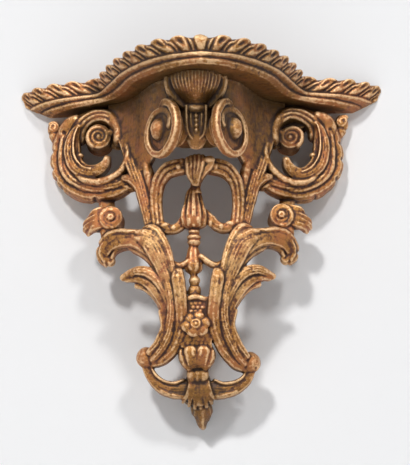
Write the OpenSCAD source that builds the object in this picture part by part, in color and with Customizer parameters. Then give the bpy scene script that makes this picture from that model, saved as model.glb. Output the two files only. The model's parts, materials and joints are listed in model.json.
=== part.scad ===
// Carved wall bracket in the rococo manner: a shaped shelf with a lobed edge on a pierced,
// one-piece carved body. Millimetres, +Z up, the wall is the plane y = 0 and the bracket
// stands out towards -Y. The origin is at the middle of the shelf's back edge.

/* [Shelf] */
// Width of the shelf from tip to tip
shelf_w = 440; // [380:10:500]
// How far the middle of the shelf stands out from the wall
shelf_d = 198; // [176:2:220]
// Height of the band of carved lobes along the edge
lobe_band_h = 18; // [15:1:22]
// Height of the two mouldings under the lobes
moulding_h = 15; // [12:1:18]
// How far the carved lobes stand out from the board
lobe_out = 5; // [3:0.5:6]
// Number of carved lobes from each tip to the middle
lobe_count = 12; // [10:1:14]

/* [Hanging holes] */
// Diameter of the two blind holes in the shelf's back edge
hole_d = 7; // [5:0.5:9]
// Depth of the two blind holes
hole_len = 24; // [14:1:28]
// Distance between the two blind holes
hole_gap = 240; // [160:10:280]

/* [Body] */
// Depth from the middle of the shelf's edge to the tip of the drop
body_h = 404; // [360:4:440]
// Sideways set of the body from the middle of the shelf
body_shift = -6; // [-8:1:8]
// Turn of the front volutes away from straight ahead, in degrees
volute_turn = 50; // [40:1:60]
// Radius of the front volutes
volute_r = 29; // [26:1:31]

/* [Colours] */
// Gilded shelf
shelf_colour = "#a5733f";
// Gilded body
body_colour = "#b07a45";

/* [Hidden] */
lobe_foot = -2;
under = lobe_foot - moulding_h;
lobe_r = 14;
overlap = 1;
kx = shelf_w / 440;
ky = shelf_d / 198;
kz = (body_h + under) / 385;
ball_sides = 8;
small_sides = 6;

// ---- curves ----

// A smooth curve through four neighbouring stations, t running from the second to the third
function blend(a, b, c, d, t) =
    0.5 * (2 * b + (c - a) * t + (2 * a - 5 * b + 4 * c - d) * t * t
    + (3 * b - a - 3 * c + d) * t * t * t);

function station(path, i) = path[max(0, min(len(path) - 1, i))];

// The stations of a path with steps between each pair of them
function smooth(path, steps) = concat(
    [for (i = [0 : len(path) - 2]) for (j = [0 : steps - 1])
        blend(station(path, i - 1), station(path, i), station(path, i + 1),
            station(path, i + 2), j / steps)],
    [path[len(path) - 1]]);

function unit(v) = v / norm(v);

// Place of a station [sideways, height, distance from the wall, ...] in the bracket
function at(p) = [kx * p[0], -ky * p[2], under + kz * (p[1] + 17)];

// ---- shelf ----

// Half of the shelf's outline from the wall to the middle of the front, at the tips of the
// lobes and at the foot of the mouldings: [sideways, distance from the wall]
edge_line = [[220, 0], [213, 12], [196, 28], [172, 39], [148, 43], [129, 47], [121, 64],
    [111, 93], [97, 125], [79, 153], [57, 177], [34, 190], [0, 198]];
foot_line = [[184, 0], [178, 14], [166, 25], [150, 37], [134, 45], [117, 56], [102, 70],
    [89, 95], [78, 125], [64, 147], [46, 166], [25, 183], [0, 192]];

// The outline part way between the two, from 0 at the lobes to 1 at the foot
function half_outline(part) = smooth([for (i = [0 : len(edge_line) - 1])
    let (p = (1 - part) * edge_line[i] + part * foot_line[i]) [kx * p[0], ky * p[1]]], 2);

// A half outline drawn in towards the board by a distance, its tip at the wall kept
function drawn_in(line, inset) = [for (i = [0 : len(line) - 1])
    let (run = unit(station(line, i + 1) - station(line, i - 1)),
        inward = i == 0 ? [0, 0] : i == len(line) - 1 ? [0, -1] : [-run[1], run[0]])
        line[i] + inset * inward];

// The whole outline: one half, then the other half mirrored and run backwards
function whole(half) = let (n = len(half)) concat(
    [for (p = half) [p[0], -p[1]]],
    [for (i = [n - 2 : -1 : 0]) [-half[i][0], -half[i][1]]]);

// Length run along a line up to each of its points
function run_length(line, i) = i == 0 ? 0
    : run_length(line, i - 1) + norm(line[i] - line[i - 1]);

// Evenly spread round lobes along the edge, seen from above
module lobes(radius, height) {
    line = drawn_in(half_outline(0), radius);
    ends = len(line) - 1;
    across = [for (i = [0 : ends]) [run_length(line, i), line[i][0]]];
    outward = [for (i = [0 : ends]) [run_length(line, i), line[i][1]]];
    pitch = run_length(line, ends) / lobe_count;
    for (i = [0 : lobe_count - 1], side = [-1, 1])
        translate([side * lookup((i + 0.5) * pitch, across), -lookup((i + 0.5) * pitch, outward)])
            cylinder(r = radius, h = height, $fn = 32);
}

module shelf() {
    color(shelf_colour)
    difference() {
        union() {
            translate([0, 0, lobe_foot])
                linear_extrude(lobe_band_h)
                    polygon(whole(drawn_in(half_outline(0), lobe_out)));
            translate([0, 0, lobe_foot + 5])
                lobes(lobe_r, lobe_band_h - 6);
            translate([0, 0, under + moulding_h / 2])
                linear_extrude(moulding_h / 2 + overlap)
                    polygon(whole(drawn_in(half_outline(0.4), 2)));
            translate([0, 0, under])
                linear_extrude(moulding_h / 2 + overlap)
                    polygon(whole(half_outline(1)));
        }
        translate([-shelf_w, 0, -shelf_w / 2])
            cube([2 * shelf_w, shelf_w, shelf_w]);
        for (side = [-1, 1])
            translate([side * hole_gap / 2, 0, 0])
                rotate([90, 0, 0])
                    translate([0, 0, -overlap])
                        cylinder(d = hole_d, h = hole_len + overlap, $fn = 48);
    }
}

// ---- carved bands ----

// Section of a band, one unit to each side: a flat back and lengthwise ridges on its front
function ridged(ridges) = concat(
    [[-0.8, -1], [0.8, -1], [1, 0.2]],
    [for (j = [2 * ridges - 1 : -1 : 1])
        let (across = -1 + j / ridges, dome = 1 - 0.25 * across * across)
            [across * 0.92, j % 2 == 1 ? dome : dome - 0.45]],
    [[-1, 0.2]]);

// Solid swept along places, each with its half width and half thickness; face is the way
// that its front looks
module sweep(places, widths, thicks, face, section) {
    n = len(section);
    last = len(places) - 1;
    points = [for (i = [0 : last])
        let (run = unit(places[min(i + 1, last)] - places[max(i - 1, 0)]),
            side = unit(cross(run, face)),
            front = cross(side, run))
        for (q = section) places[i] + q[0] * widths[i] * side + q[1] * thicks[i] * front];
    walls = [for (i = [0 : last - 1], k = [0 : n - 1])
        let (a = i * n + k, b = i * n + (k + 1) % n)
        for (tri = [[a, b, b + n], [a, b + n, a + n]]) tri];
    ends = [[for (k = [n - 1 : -1 : 0]) k], [for (k = [0 : n - 1]) last * n + k]];
    polyhedron(points, concat(walls, ends), convexity = 8);
}

// A band through stations [sideways, height, distance from the wall, half width, half
// thickness]
module band(path, ridges = 1, steps = 1) {
    rows = smooth(path, steps);
    sweep([for (r = rows) at(r)], [for (r = rows) r[3]], [for (r = rows) r[4]],
        [0, -1, 0], ridged(ridges));
}

// A tapering rounded rib through a few stations [sideways, height, distance, radius]
module rib(stations) {
    for (i = [0 : len(stations) - 2])
        hull() {
            translate(at(stations[i])) sphere(stations[i][3], $fn = small_sides);
            translate(at(stations[i + 1])) sphere(stations[i + 1][3], $fn = small_sides);
        }
}

// A filled block between corners [sideways, height, distance]
module block(corners) {
    hull()
        for (c = corners)
            translate(at(c)) cube(1, center = true);
}

module knob(place, radius, sides = ball_sides) {
    translate(at(place)) sphere(radius, $fn = sides);
}

// ---- front of the body ----

// Wound strap, sunk face and eye of one front volute
module front_volute() {
    turns = 1.5;
    wind = [for (a = [0 : 27 : 360 * turns])
        let (angle = 120 + a, r = (volute_r - 4) * (1 - 0.36 * a / (360 * turns)))
            [r * cos(angle), r * sin(angle), 0]];
    translate(at([40, -74, 143]))
        rotate([90, 0, volute_turn]) {
            sweep(wind, [for (w = wind) 4], [for (w = wind) 8], [0, 0, 1],
                [[-1, -1], [1, -1], [1, 0.8], [0, 1], [-1, 0.8]]);
            translate([0, 0, -28])
                cylinder(r = volute_r - 9, h = 20, $fn = 12);
            translate([0, 0, -8])
                cylinder(r = volute_r - 5, h = 8, $fn = 12);
            cylinder(r1 = 12, r2 = 7, h = 9, $fn = ball_sides);
        }
}

// Block between the volutes, hollow behind, and the cheeks that flare back to the scrolls
module console() {
    block([for (side = [-1, 1]) each [
        [side * 44, -17, 40], [side * 44, -17, 118], [side * 20, -17, 152],
        [side * 34, -92, 84], [side * 20, -92, 124]]]);
    for (side = [-1, 1]) {
        block([for (c = [[44, -17, 60], [44, -17, 118], [57, -17, 108], [68, -17, 74],
            [52, -88, 84], [57, -88, 106], [66, -84, 70]]) [side * c[0], c[1], c[2]]]);
        block([for (c = [[66, -17, 58], [66, -17, 78], [94, -18, 52], [94, -18, 34],
            [68, -84, 58], [68, -84, 74], [90, -52, 52], [88, -54, 38]])
            [side * c[0], c[1], c[2]]]);
    }
}

// Fluted shell leaf that hangs over the volutes, and the channel with beads below it
module shell_leaf() {
    band([[0, -12, 164, 33, 11], [0, -32, 158, 27, 11], [0, -44, 148, 17, 10],
        [0, -53, 140, 8, 7]], 5);
    band([[0, -50, 132, 9, 6], [0, -80, 126, 9, 6], [0, -93, 120, 4, 5]], 2);
    for (i = [0 : 2])
        knob([0, -58 - 8 * i, 136 - 2 * i], 3.5, small_sides);
}

// ---- side scrolls ----

module side_scroll() {
    band([[68, -104, 62, 6, 9], [80, -113, 56, 8, 10], [96, -120, 44, 9, 11],
        [114, -124, 34, 10, 12], [136, -119, 24, 10.5, 13], [155, -104, 14, 11, 13],
        [164, -80, 13, 11, 13], [160, -56, 14, 11, 13], [146, -35, 20, 10.5, 13],
        [122, -27, 34, 10, 12], [101, -32, 46, 9, 11], [91, -47, 54, 8, 10],
        [94, -64, 56, 7, 9], [104, -74, 56, 5, 7]], 2, 2);
    band([[142, -38, 26, 3, 6], [147, -60, 28, 8, 9], [147, -78, 28, 9, 10],
        [138, -92, 34, 8, 10], [124, -99, 42, 7, 9], [112, -94, 50, 5, 7],
        [107, -86, 54, 2.5, 4]], 1, 2);
    band([[132, -114, 40, 3, 7], [112, -116, 48, 4, 8], [94, -110, 54, 4, 9],
        [82, -98, 60, 4, 9], [78, -84, 62, 4, 9], [83, -68, 60, 3.5, 8]], 1, 2);
    knob([112, -57, 54], 14);
    knob([177, -30, 11], 9);
    rib([[174, -32, 11, 5], [156, -48, 12, 7]]);
    for (i = [0 : 2])
        knob([172 - 2 * i * i, -68 - 14 * i, 8], 7, small_sides);
}

// ---- legs, arch and cusps ----

module leg() {
    band([[68, -14, 64, 11, 15], [66, -50, 66, 10, 15], [66, -84, 66, 9.5, 15],
        [64, -104, 66, 9, 15], [60, -124, 66, 7.5, 14], [58, -146, 66, 7, 13],
        [52, -174, 72, 8, 13]], 2);
    band([[8, -106, 92, 7, 9], [24, -107, 92, 8.5, 9], [36, -111, 88, 8, 9],
        [46, -124, 82, 6.5, 9], [49, -144, 76, 6, 9], [46, -170, 76, 6, 9]], 2);
    band([[46, -173, 78, 5, 6], [34, -179, 78, 4.5, 6], [22, -177, 82, 4.5, 6],
        [4, -162, 84, 3.5, 5]]);
    band([[30, -216, 80, 4, 5], [18, -219, 82, 4, 5], [0, -210, 84, 3, 5]]);
}

// ---- arms and lower leaves ----

module arm() {
    band([[34, -228, 80, 8, 11], [46, -206, 78, 12, 12], [58, -193, 74, 11.5, 12],
        [72, -187, 68, 10, 11], [88, -185, 60, 9.5, 10], [102, -189, 52, 8, 9],
        [109, -199, 48, 6.5, 8], [106, -208, 48, 4.5, 7], [100, -210, 50, 3, 5]], 2, 2);
    knob([101, -208, 50], 6);
    rib([[74, -182, 78, 3], [54, -191, 84, 5], [40, -212, 84, 4]]);
}

// Rolled leaf end on the arm, with its ribbed flank
module roll() {
    translate(at([98, -157, 44]))
        rotate([90, 0, 0])
            cylinder(r1 = 12, r2 = 11, h = 20, $fn = 14);
    band([[100, -158, 48, 12, 8], [112, -160, 48, 12, 8], [124, -161, 40, 8, 5]], 3);
    rib([[102, -176, 54, 7], [114, -126, 38, 6]]);
}

module lower_leaf() {
    band([[28, -270, 76, 5, 9], [40, -254, 78, 9, 9], [54, -242, 74, 9.5, 8],
        [66, -235, 70, 8, 7], [78, -231, 66, 6, 6], [87, -230, 64, 3, 4]], 3);
    rib([[54, -245, 72, 5], [72, -241, 68, 3]]);
}

// ---- trunk and foot ----

module trunk() {
    band([[47, -176, 74, 8, 12], [42, -205, 78, 12, 14], [34, -236, 78, 15, 15],
        [27, -262, 76, 13, 15], [25, -280, 72, 11.5, 15], [28, -298, 66, 12.5, 15],
        [37, -314, 58, 12, 14], [49, -323, 50, 9, 11]], 3);
    rib([[34, -298, 80, 5], [40, -284, 82, 4], [45, -270, 82, 2]]);
    knob([58, -322, 48], 12);
    band([[58, -326, 46, 6, 8], [56, -338, 44, 5.5, 8], [46, -350, 42, 5, 8],
        [33, -357, 42, 5.5, 9], [12, -352, 44, 6, 9]]);
}

// ---- middle line: leaf, bellflower, beads and drop ----

// Turned outline as pairs [height below the palmette, radius]
bell_outline = [[0, 0], [0, 4], [16, 9], [41, 16], [47, 13], [50, 5], [54, 6.5], [58, 5],
    [60, 7.5], [66, 7], [68, 4.5], [91, 10], [98, 7], [101, 3.5], [104, 3.5], [109, 6],
    [114, 4], [116, 6.5], [129, 6.5], [129, 0]];

module middle() {
    band([[1, -97, 100, 18, 8], [2, -110, 100, 15, 8], [0, -124, 96, 6, 7],
        [-1, -133, 90, 4, 6]], 4);
    translate(at([-4, -129, 84]))
        mirror([0, 0, 1])
            rotate_extrude($fn = 10)
                polygon([for (p = bell_outline) [p[1], kz * p[0]]]);
}

module plaque() {
    block([for (side = [-1, 1], d = [56, 80]) each [
        [side * 10 - 3, -257, d], [side * 13 - 3, -282, d], [side * 16 - 3, -314, d - 6]]]);
    translate(at([-3, -289, 78]))
        rotate([90, 0, 0])
            linear_extrude(9)
                polygon([for (i = [0 : 19]) let (r = 13.5 - (i % 4 == 0 ? 3.5 : 0))
                    [r * sin(18 * i), r * cos(18 * i)]]);
    knob([-3, -289, 87], 4.5, small_sides);
    band([[-2, -312, 74, 21, 8], [-2, -322, 72, 18, 8], [-2, -335, 62, 12, 7]], 4);
}

// Bearded foot with the drop, solid back to the wall
module foot() {
    block([for (side = [-1, 1]) each [
        [side * 12 - 2, -313, 60], [side * 12 - 2, -313, 40], [side * 12 - 1, -346, 1],
        [side * 12 - 1, -344, 56], [side * 13, -368, 44], [side * 13, -368, 1]]]);
    block([[-10, -368, 1], [12, -368, 1], [-8, -368, 40], [11, -368, 40], [2, -390, 1],
        [2, -388, 30]]);
    band([[-2, -340, 58, 12, 8], [-1, -346, 58, 14, 9], [0, -358, 52, 14, 9],
        [1, -372, 44, 18, 7]], 3, 1);
    band([[1, -366, 38, 12, 14], [2, -380, 32, 11, 12], [2, -390, 26, 7, 11],
        [3, -396, 20, 4, 9]], 2, 1);
}

module bracket() {
    color(body_colour)
    difference() {
        translate([body_shift, 0, 0]) {
            console();
            shell_leaf();
            middle();
            plaque();
            foot();
            for (side = [0, 1])
                mirror([side, 0, 0]) {
                    front_volute();
                    side_scroll();
                    leg();
                    arm();
                    roll();
                    lower_leaf();
                    trunk();
                }
        }
        translate([-shelf_w, -shelf_w, under])
            cube([2 * shelf_w, 2 * shelf_w, shelf_w]);
        translate([-shelf_w, 0, -2 * body_h])
            cube([2 * shelf_w, shelf_w, 2 * body_h]);
    }
}

shelf();
bracket();
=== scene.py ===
# %% [markdown]
# # A carved and gilded wall bracket
#
# The real object is a small shelf on a pierced, carved bracket that hangs on a wall. It was
# cut from a soft wood, coated with white gesso, then with red clay (the bole), and covered
# with gold leaf. Long years of dusting have rubbed the high places pale, and have packed
# brown dirt into the hollows. The finish below also paints a highlight on the ridges, and
# shade in the hollows, in hidden places and under the shelf.
#
# The measured model is loaded first. It is the fixed frame: every piece below is placed
# from its sizes, so the looks and the measured part always agree.

# %% Load the measured frame
import json
import math

import bpy
import numpy as np
from mathutils import Matrix, Vector

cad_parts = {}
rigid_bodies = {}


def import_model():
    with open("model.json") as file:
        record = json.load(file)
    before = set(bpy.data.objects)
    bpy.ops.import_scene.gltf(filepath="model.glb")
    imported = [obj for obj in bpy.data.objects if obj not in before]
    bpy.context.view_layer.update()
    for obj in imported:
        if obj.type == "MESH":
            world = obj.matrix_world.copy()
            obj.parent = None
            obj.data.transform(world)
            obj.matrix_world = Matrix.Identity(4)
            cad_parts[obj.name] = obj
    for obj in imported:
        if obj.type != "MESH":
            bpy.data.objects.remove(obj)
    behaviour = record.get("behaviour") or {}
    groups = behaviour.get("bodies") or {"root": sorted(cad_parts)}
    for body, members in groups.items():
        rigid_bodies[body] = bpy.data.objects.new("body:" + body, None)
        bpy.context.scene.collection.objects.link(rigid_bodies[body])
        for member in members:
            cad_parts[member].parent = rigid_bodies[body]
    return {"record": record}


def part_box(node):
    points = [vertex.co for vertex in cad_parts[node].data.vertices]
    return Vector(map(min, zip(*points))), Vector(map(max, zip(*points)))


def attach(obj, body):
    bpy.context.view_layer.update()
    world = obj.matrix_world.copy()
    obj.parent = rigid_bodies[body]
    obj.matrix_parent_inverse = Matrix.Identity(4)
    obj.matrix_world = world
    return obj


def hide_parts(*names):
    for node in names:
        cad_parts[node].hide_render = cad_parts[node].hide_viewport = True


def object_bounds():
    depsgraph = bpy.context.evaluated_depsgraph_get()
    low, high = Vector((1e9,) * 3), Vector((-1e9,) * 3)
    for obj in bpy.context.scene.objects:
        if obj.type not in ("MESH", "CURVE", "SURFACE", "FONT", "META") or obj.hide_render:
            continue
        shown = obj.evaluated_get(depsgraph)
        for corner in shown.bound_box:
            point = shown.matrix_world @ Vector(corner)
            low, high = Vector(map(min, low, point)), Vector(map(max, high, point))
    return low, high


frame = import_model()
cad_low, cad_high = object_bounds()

print("whole bracket, mm:", [round(1000 * (b - a), 1) for a, b in zip(cad_low, cad_high)])

# %% [markdown]
# ## Sizes
#
# A carver draws the bracket once at full size and pricks the drawing through onto the wood.
# The numbers below are that drawing, in millimetres: sideways from the body's middle line,
# height, and distance from the wall. The drawing is stretched to the measured frame, so that
# it still fits if the frame is made a little larger or smaller.

# %% Sizes from the frame
MM = 0.001
shelf_low, shelf_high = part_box("shelf")
body_low, body_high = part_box("bracket")

drawn_width, drawn_depth, drawn_drop = 440.0, 195.0, 387.0
drawn_underside = -17
across_scale = (shelf_high.x - shelf_low.x) / (drawn_width * MM)
depth_scale = -shelf_low.y / (drawn_depth * MM)
drop_scale = (body_high.z - body_low.z) / (drawn_drop * MM)
under = shelf_low.z
middle_x = (body_low.x + body_high.x) / 2

print("scales:", round(across_scale, 4), round(depth_scale, 4), round(drop_scale, 4))
print("middle of the body, mm:", round(middle_x / MM, 1), "underside, mm:", round(under / MM, 1))

# %% [markdown]
# ## Camera
#
# The bracket hangs above the eye, so the camera looks up at it by about 13 degrees from 1.8
# metres away, with a long lens. The tiny roll and shift are those of a hand-held framing, and
# nothing else moves the picture.

# %% Camera
def look_from(place, target, roll):
    """The camera's turn when it looks from place to target."""
    turn = (target - place).to_track_quat("-Z", "Y").to_matrix()
    return turn @ Matrix.Rotation(math.radians(roll), 3, "Z")


camera = bpy.data.objects.new("camera", bpy.data.cameras.new("camera"))
bpy.context.scene.collection.objects.link(camera)
bpy.context.scene.camera = camera
eye_place = Vector((0, -1.8167, -0.5827))
camera.matrix_world = Matrix.Translation(eye_place) @ look_from(
    eye_place, Vector((0, -0.060, -0.190)), -0.6).to_4x4()
camera.data.sensor_width = 36
camera.data.lens = 120.4
picture_height = 465
camera.data.shift_x = 2.15 / picture_height
camera.data.shift_y = 10.6 / picture_height
print("camera at", [round(v, 3) for v in eye_place])

# %% [markdown]
# ## Light, floor and wall
#
# Two soft lamps stand in front, above and to each side, as on a studio wall shot, and a
# weak sky fills the rest. The wall behind is only a stage. It is seen from the front
# alone: from behind it is clear, so that the back of the bracket can be looked at too.

# %% Lamps and sky
def soft_lamp(name, place, target, size, watts):
    """A round area lamp at place that points at target."""
    lamp = bpy.data.objects.new(name, bpy.data.lights.new(name, "AREA"))
    lamp.data.shape = "DISK"
    lamp.data.size = size
    lamp.data.energy = watts
    lamp.location = place
    lamp.rotation_euler = (Vector(target) - Vector(place)).to_track_quat("-Z", "Y").to_euler()
    bpy.context.scene.collection.objects.link(lamp)


bracket_middle = (0, -0.05, -0.18)
soft_lamp("lamp_left", (-1.45, -4.2, 3.0), bracket_middle, 0.62, 150)
soft_lamp("lamp_right", (1.75, -3.9, 3.3), bracket_middle, 0.80, 86)

sky = bpy.data.worlds.new("sky")
bpy.context.scene.world = sky
sky.use_nodes = True
sky_nodes, sky_links = sky.node_tree.nodes, sky.node_tree.links
sky_nodes.clear()
ray = sky_nodes.new("ShaderNodeLightPath")
seen = sky_nodes.new("ShaderNodeMath")
seen.operation = "MAXIMUM"
seen_too = sky_nodes.new("ShaderNodeMath")
seen_too.operation = "MAXIMUM"
fill = sky_nodes.new("ShaderNodeBackground")
fill.inputs["Color"].default_value = (0.95, 0.97, 1.0, 1)
fill.inputs["Strength"].default_value = 0.15
plain = sky_nodes.new("ShaderNodeBackground")
plain.inputs["Color"].default_value = (0.92, 0.92, 0.92, 1)
plain.inputs["Strength"].default_value = 1.0
pick = sky_nodes.new("ShaderNodeMixShader")
sky_out = sky_nodes.new("ShaderNodeOutputWorld")
sky_links.new(ray.outputs["Is Camera Ray"], seen.inputs[0])
sky_links.new(ray.outputs["Is Glossy Ray"], seen.inputs[1])
sky_links.new(seen.outputs[0], seen_too.inputs[0])
sky_links.new(ray.outputs["Is Transmission Ray"], seen_too.inputs[1])
sky_links.new(seen_too.outputs[0], pick.inputs[0])
sky_links.new(fill.outputs[0], pick.inputs[1])
sky_links.new(plain.outputs[0], pick.inputs[2])
sky_links.new(pick.outputs[0], sky_out.inputs[0])
bpy.context.scene.view_settings.view_transform = "Standard"
print("two lamps and a sky of", fill.inputs["Strength"].default_value)

# %% Floor and wall
def stage_sheet(name, size, place, turn):
    """A plain sheet of the stage, which is no part of the bracket."""
    bpy.ops.object.select_all(action="DESELECT")
    bpy.ops.mesh.primitive_plane_add(size=size, location=place, rotation=turn)
    sheet = bpy.context.object
    sheet.name = name
    return sheet


def pale_paint(name, one_sided):
    """Matt, nearly white paint; a one-sided sheet is clear from behind."""
    paint = bpy.data.materials.new(name)
    paint.use_nodes = True
    nodes, links = paint.node_tree.nodes, paint.node_tree.links
    shader = nodes["Principled BSDF"]
    shader.inputs["Base Color"].default_value = (0.92, 0.92, 0.925, 1)
    shader.inputs["Roughness"].default_value = 0.9
    shader.inputs["Specular IOR Level"].default_value = 0.0
    if one_sided:
        side = nodes.new("ShaderNodeNewGeometry")
        clear = nodes.new("ShaderNodeBsdfTransparent")
        both = nodes.new("ShaderNodeMixShader")
        links.new(side.outputs["Backfacing"], both.inputs[0])
        links.new(shader.outputs[0], both.inputs[1])
        links.new(clear.outputs[0], both.inputs[2])
        links.new(both.outputs[0], nodes["Material Output"].inputs["Surface"])
    return paint


floor_height = -1.1
wall = stage_sheet("wall", 5.0, (0, 0.0008, floor_height + 2.5), (math.radians(90), 0, 0))
wall.data.materials.append(pale_paint("wall_paint", True))
floor = stage_sheet("floor", 6.0, (0, 0, floor_height), (0, 0, 0))
floor.data.materials.append(pale_paint("floor_paint", False))
print("wall and floor stand in as the stage")

# %% [markdown]
# ## Carver's helpers
#
# Nearly every form here is a strap: a leaf, a band or a bundle of reeds that flows along a
# curve, swells and tapers. So the main helper sweeps a carved section along a smooth line.
# It could be done with a curve object and a bevel shape, but then the grooves could not
# fan out with the strap's own width and depth, so the rings of points are set out directly.

# %% Placing and smoothing
# The right half isn't quite the mirror image of the left one, as in all carving by eye:
# [sideways, height, reach, moved sideways, moved up] in millimetres
right_hand_slips = [[120, -95, 26, -1, -6], [58, -328, 26, -1, -7], [178, -30, 14, 4, 5],
    [112, -57, 16, -6, -3], [150, -40, 16, 2, 2], [30, -160, 18, 1, 3],
    [101, -158, 17, -3, 1], [20, -285, 30, -2, 0]]


def spot(side, across, height, out):
    """A point of the drawing as a place in the room; side is -1 for left and 1 for right."""
    if side > 0 and across > 15:
        for near, level, reach, slide, lift in right_hand_slips:
            share = math.exp(-((across - near) ** 2 + (height - level) ** 2) / reach ** 2)
            across, height = across + slide * share, height + lift * share
    return np.array([middle_x + side * across * MM * across_scale,
        -out * MM * depth_scale, under + (height - drawn_underside) * MM * drop_scale])


def unit(rows):
    """Each row at a length of one."""
    return rows / np.maximum(np.linalg.norm(rows, axis=-1, keepdims=True), 1e-9)


def smooth_run(stations, steps):
    """Rows on a smooth curve through the stations, with steps rows between each pair."""
    rows = np.array(stations, float)
    ends = np.vstack([rows[:1], rows, rows[-1:]])
    run = []
    for a, b, c, d in zip(ends[:-3], ends[1:-2], ends[2:-1], ends[3:]):
        for t in np.arange(steps) / steps:
            run.append(0.5 * (2 * b + (c - a) * t + (2 * a - 5 * b + 4 * c - d) * t ** 2
                + (3 * b - a - 3 * c + d) * t ** 3))
    return np.vstack(run + [rows[-1]])


print("a point of the drawing in the room:", spot(-1, 60, -200, 80).round(3))

# %% [markdown]
# The section of a strap is cut with gouges. Reeds are round ribs with a narrow groove
# between them. Flutes are hollow scoops that meet in a sharp ridge, as on an acanthus leaf.
# Each section could be drawn by hand, but a formula gives any number of ribs or scoops, and
# the grooves grow shallow towards the strap's edges as a carver's do.

# %% Sections
def section(count, cut, dome=0.28, hollow=False):
    """Points of a section, one unit to each side: flat back, and a carved front."""
    across = np.linspace(1, -1, 7 * count + 1)
    place = (across + 1) / 2 * count
    part = place - np.floor(np.minimum(place, count - 1e-9))
    groove = 4 * part * (1 - part) if hollow else (2 * part - 1) ** 4
    inside = np.minimum(1, 4 * (1 - np.abs(across)) + 0.4)
    front = 1 - dome * across ** 2 - cut * groove * inside
    front[[0, -1]] = 0.45
    return np.array([[-0.8, -1], [0.8, -1], [1.0, -0.4]] + list(zip(across, front))
        + [[-1.0, -0.4]])


PLAIN = section(1, 0.04, 0.35)
REED_3 = section(3, 0.17, 0.25)
REED_4 = section(4, 0.19, 0.25)
REED_6 = section(6, 0.18, 0.25)
REED_7 = section(7, 0.18, 0.25)
FLUTE_1 = section(1, 0.16, 0.12, True)
print("points in a four-reed section:", len(REED_4))

# %% Straps and sheets
carved = []


def new_solid(name, points, faces):
    """A closed solid from points and faces, kept in the list of carved forms."""
    mesh = bpy.data.meshes.new(name)
    mesh.from_pydata([tuple(p) for p in points], [], [tuple(f) for f in faces])
    solid = bpy.data.objects.new(name, mesh)
    bpy.context.scene.collection.objects.link(solid)
    carved.append(solid)
    return solid


def sweep(name, places, wide, thick, face, shape):
    """A solid swept along places, its rounded front looking towards face."""
    places, wide, thick = (np.array(v, float) for v in (places, wide, thick))
    run = unit(np.gradient(places, axis=0))
    for end, way in ((0, -1), (-1, 1)):
        reach = 0.8 * min(wide[end], thick[end])
        turns = np.radians([30, 58, 80])
        more = places[end] + way * run[end] * reach * np.sin(turns)[:, None]
        shrink = np.cos(turns)
        longer = (lambda a, b: np.concatenate([b[::-1], a])) if way < 0 else (
            lambda a, b: np.concatenate([a, b]))
        places, run = longer(places, more), longer(run, np.repeat(run[[end]], 3, axis=0))
        wide, thick = longer(wide, wide[end] * shrink), longer(thick, thick[end] * shrink)
    sideways = unit(np.cross(run, np.broadcast_to(np.array(face, float), run.shape)))
    front = np.cross(sideways, run)
    rings = (places[:, None] + shape[None, :, :1] * wide[:, None, None] * sideways[:, None]
        + shape[None, :, 1:] * thick[:, None, None] * front[:, None])
    last, n = len(rings) - 1, len(shape)
    faces = [(i * n + k, i * n + (k + 1) % n, (i + 1) * n + (k + 1) % n, (i + 1) * n + k)
        for i in range(last) for k in range(n)]
    faces += [tuple(range(n))[::-1], tuple(last * n + k for k in range(n))]
    new_solid(name, rings.reshape(-1, 3), faces)


def strap(name, side, stations, shape=PLAIN, steps=6):
    """A carved strap through [sideways, height, out, half width, half thickness]."""
    rows = smooth_run(stations, steps)
    sweep(name, [spot(side, *row[:3]) for row in rows],
        np.maximum(rows[:, 3], 0.5) * MM, np.maximum(rows[:, 4], 0.5) * MM, (0, -1, 0), shape)


def sheet(name, side, rows, thick, steps=4):
    """A carved sheet: rows of front points [sideways, height, out], thick millimetres deep."""
    grid = np.array([smooth_run(row, steps) for row in rows])
    grid = np.array([smooth_run(grid[:, k], steps) for k in range(grid.shape[1])])
    back = grid - np.array([0, 0, thick])
    back[..., 2] = np.maximum(back[..., 2], 1.0)
    m, n = grid.shape[:2]
    points = [spot(side, *p) for p in np.concatenate([grid, back]).reshape(-1, 3)]
    at = np.arange(2 * m * n).reshape(2, m, n)
    faces = []
    for i in range(m - 1):
        for k in range(n - 1):
            a, b, c, d = (at[0, i, k], at[0, i, k + 1], at[0, i + 1, k + 1], at[0, i + 1, k])
            faces += [(a, b, c, d), tuple(v + m * n for v in (d, c, b, a))]
    rim = np.concatenate([at[0, 0], at[0, 1:, -1], at[0, -1, -2::-1], at[0, -2::-1, 0]])
    faces += [(a, a + m * n, b + m * n, b) for a, b in zip(rim[:-1], rim[1:])]
    new_solid(name, points, faces)


print("helpers: sweep, strap and sheet")

# %% Blocks, beads and discs
def block(name, side, corners):
    """A filled block between corners, closed by the convex hull operator."""
    solid = new_solid(name, [spot(side, *c) for c in corners], [])
    bpy.ops.object.select_all(action="DESELECT")
    bpy.context.view_layer.objects.active = solid
    solid.select_set(True)
    bpy.ops.object.mode_set(mode="EDIT")
    bpy.ops.mesh.select_all(action="SELECT")
    bpy.ops.mesh.convex_hull()
    bpy.ops.object.mode_set(mode="OBJECT")


def bead(name, side, place, radius, squash=(1, 1, 1)):
    """A round or squashed bead: radius in millimetres, squash along X, Y and Z."""
    bpy.ops.object.select_all(action="DESELECT")
    bpy.ops.mesh.primitive_uv_sphere_add(segments=24, ring_count=16, radius=radius * MM,
        location=spot(side, *place), scale=squash)
    solid = bpy.context.object
    solid.name = name
    bpy.ops.object.transform_apply(location=True, rotation=True, scale=True)
    carved.append(solid)


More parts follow.
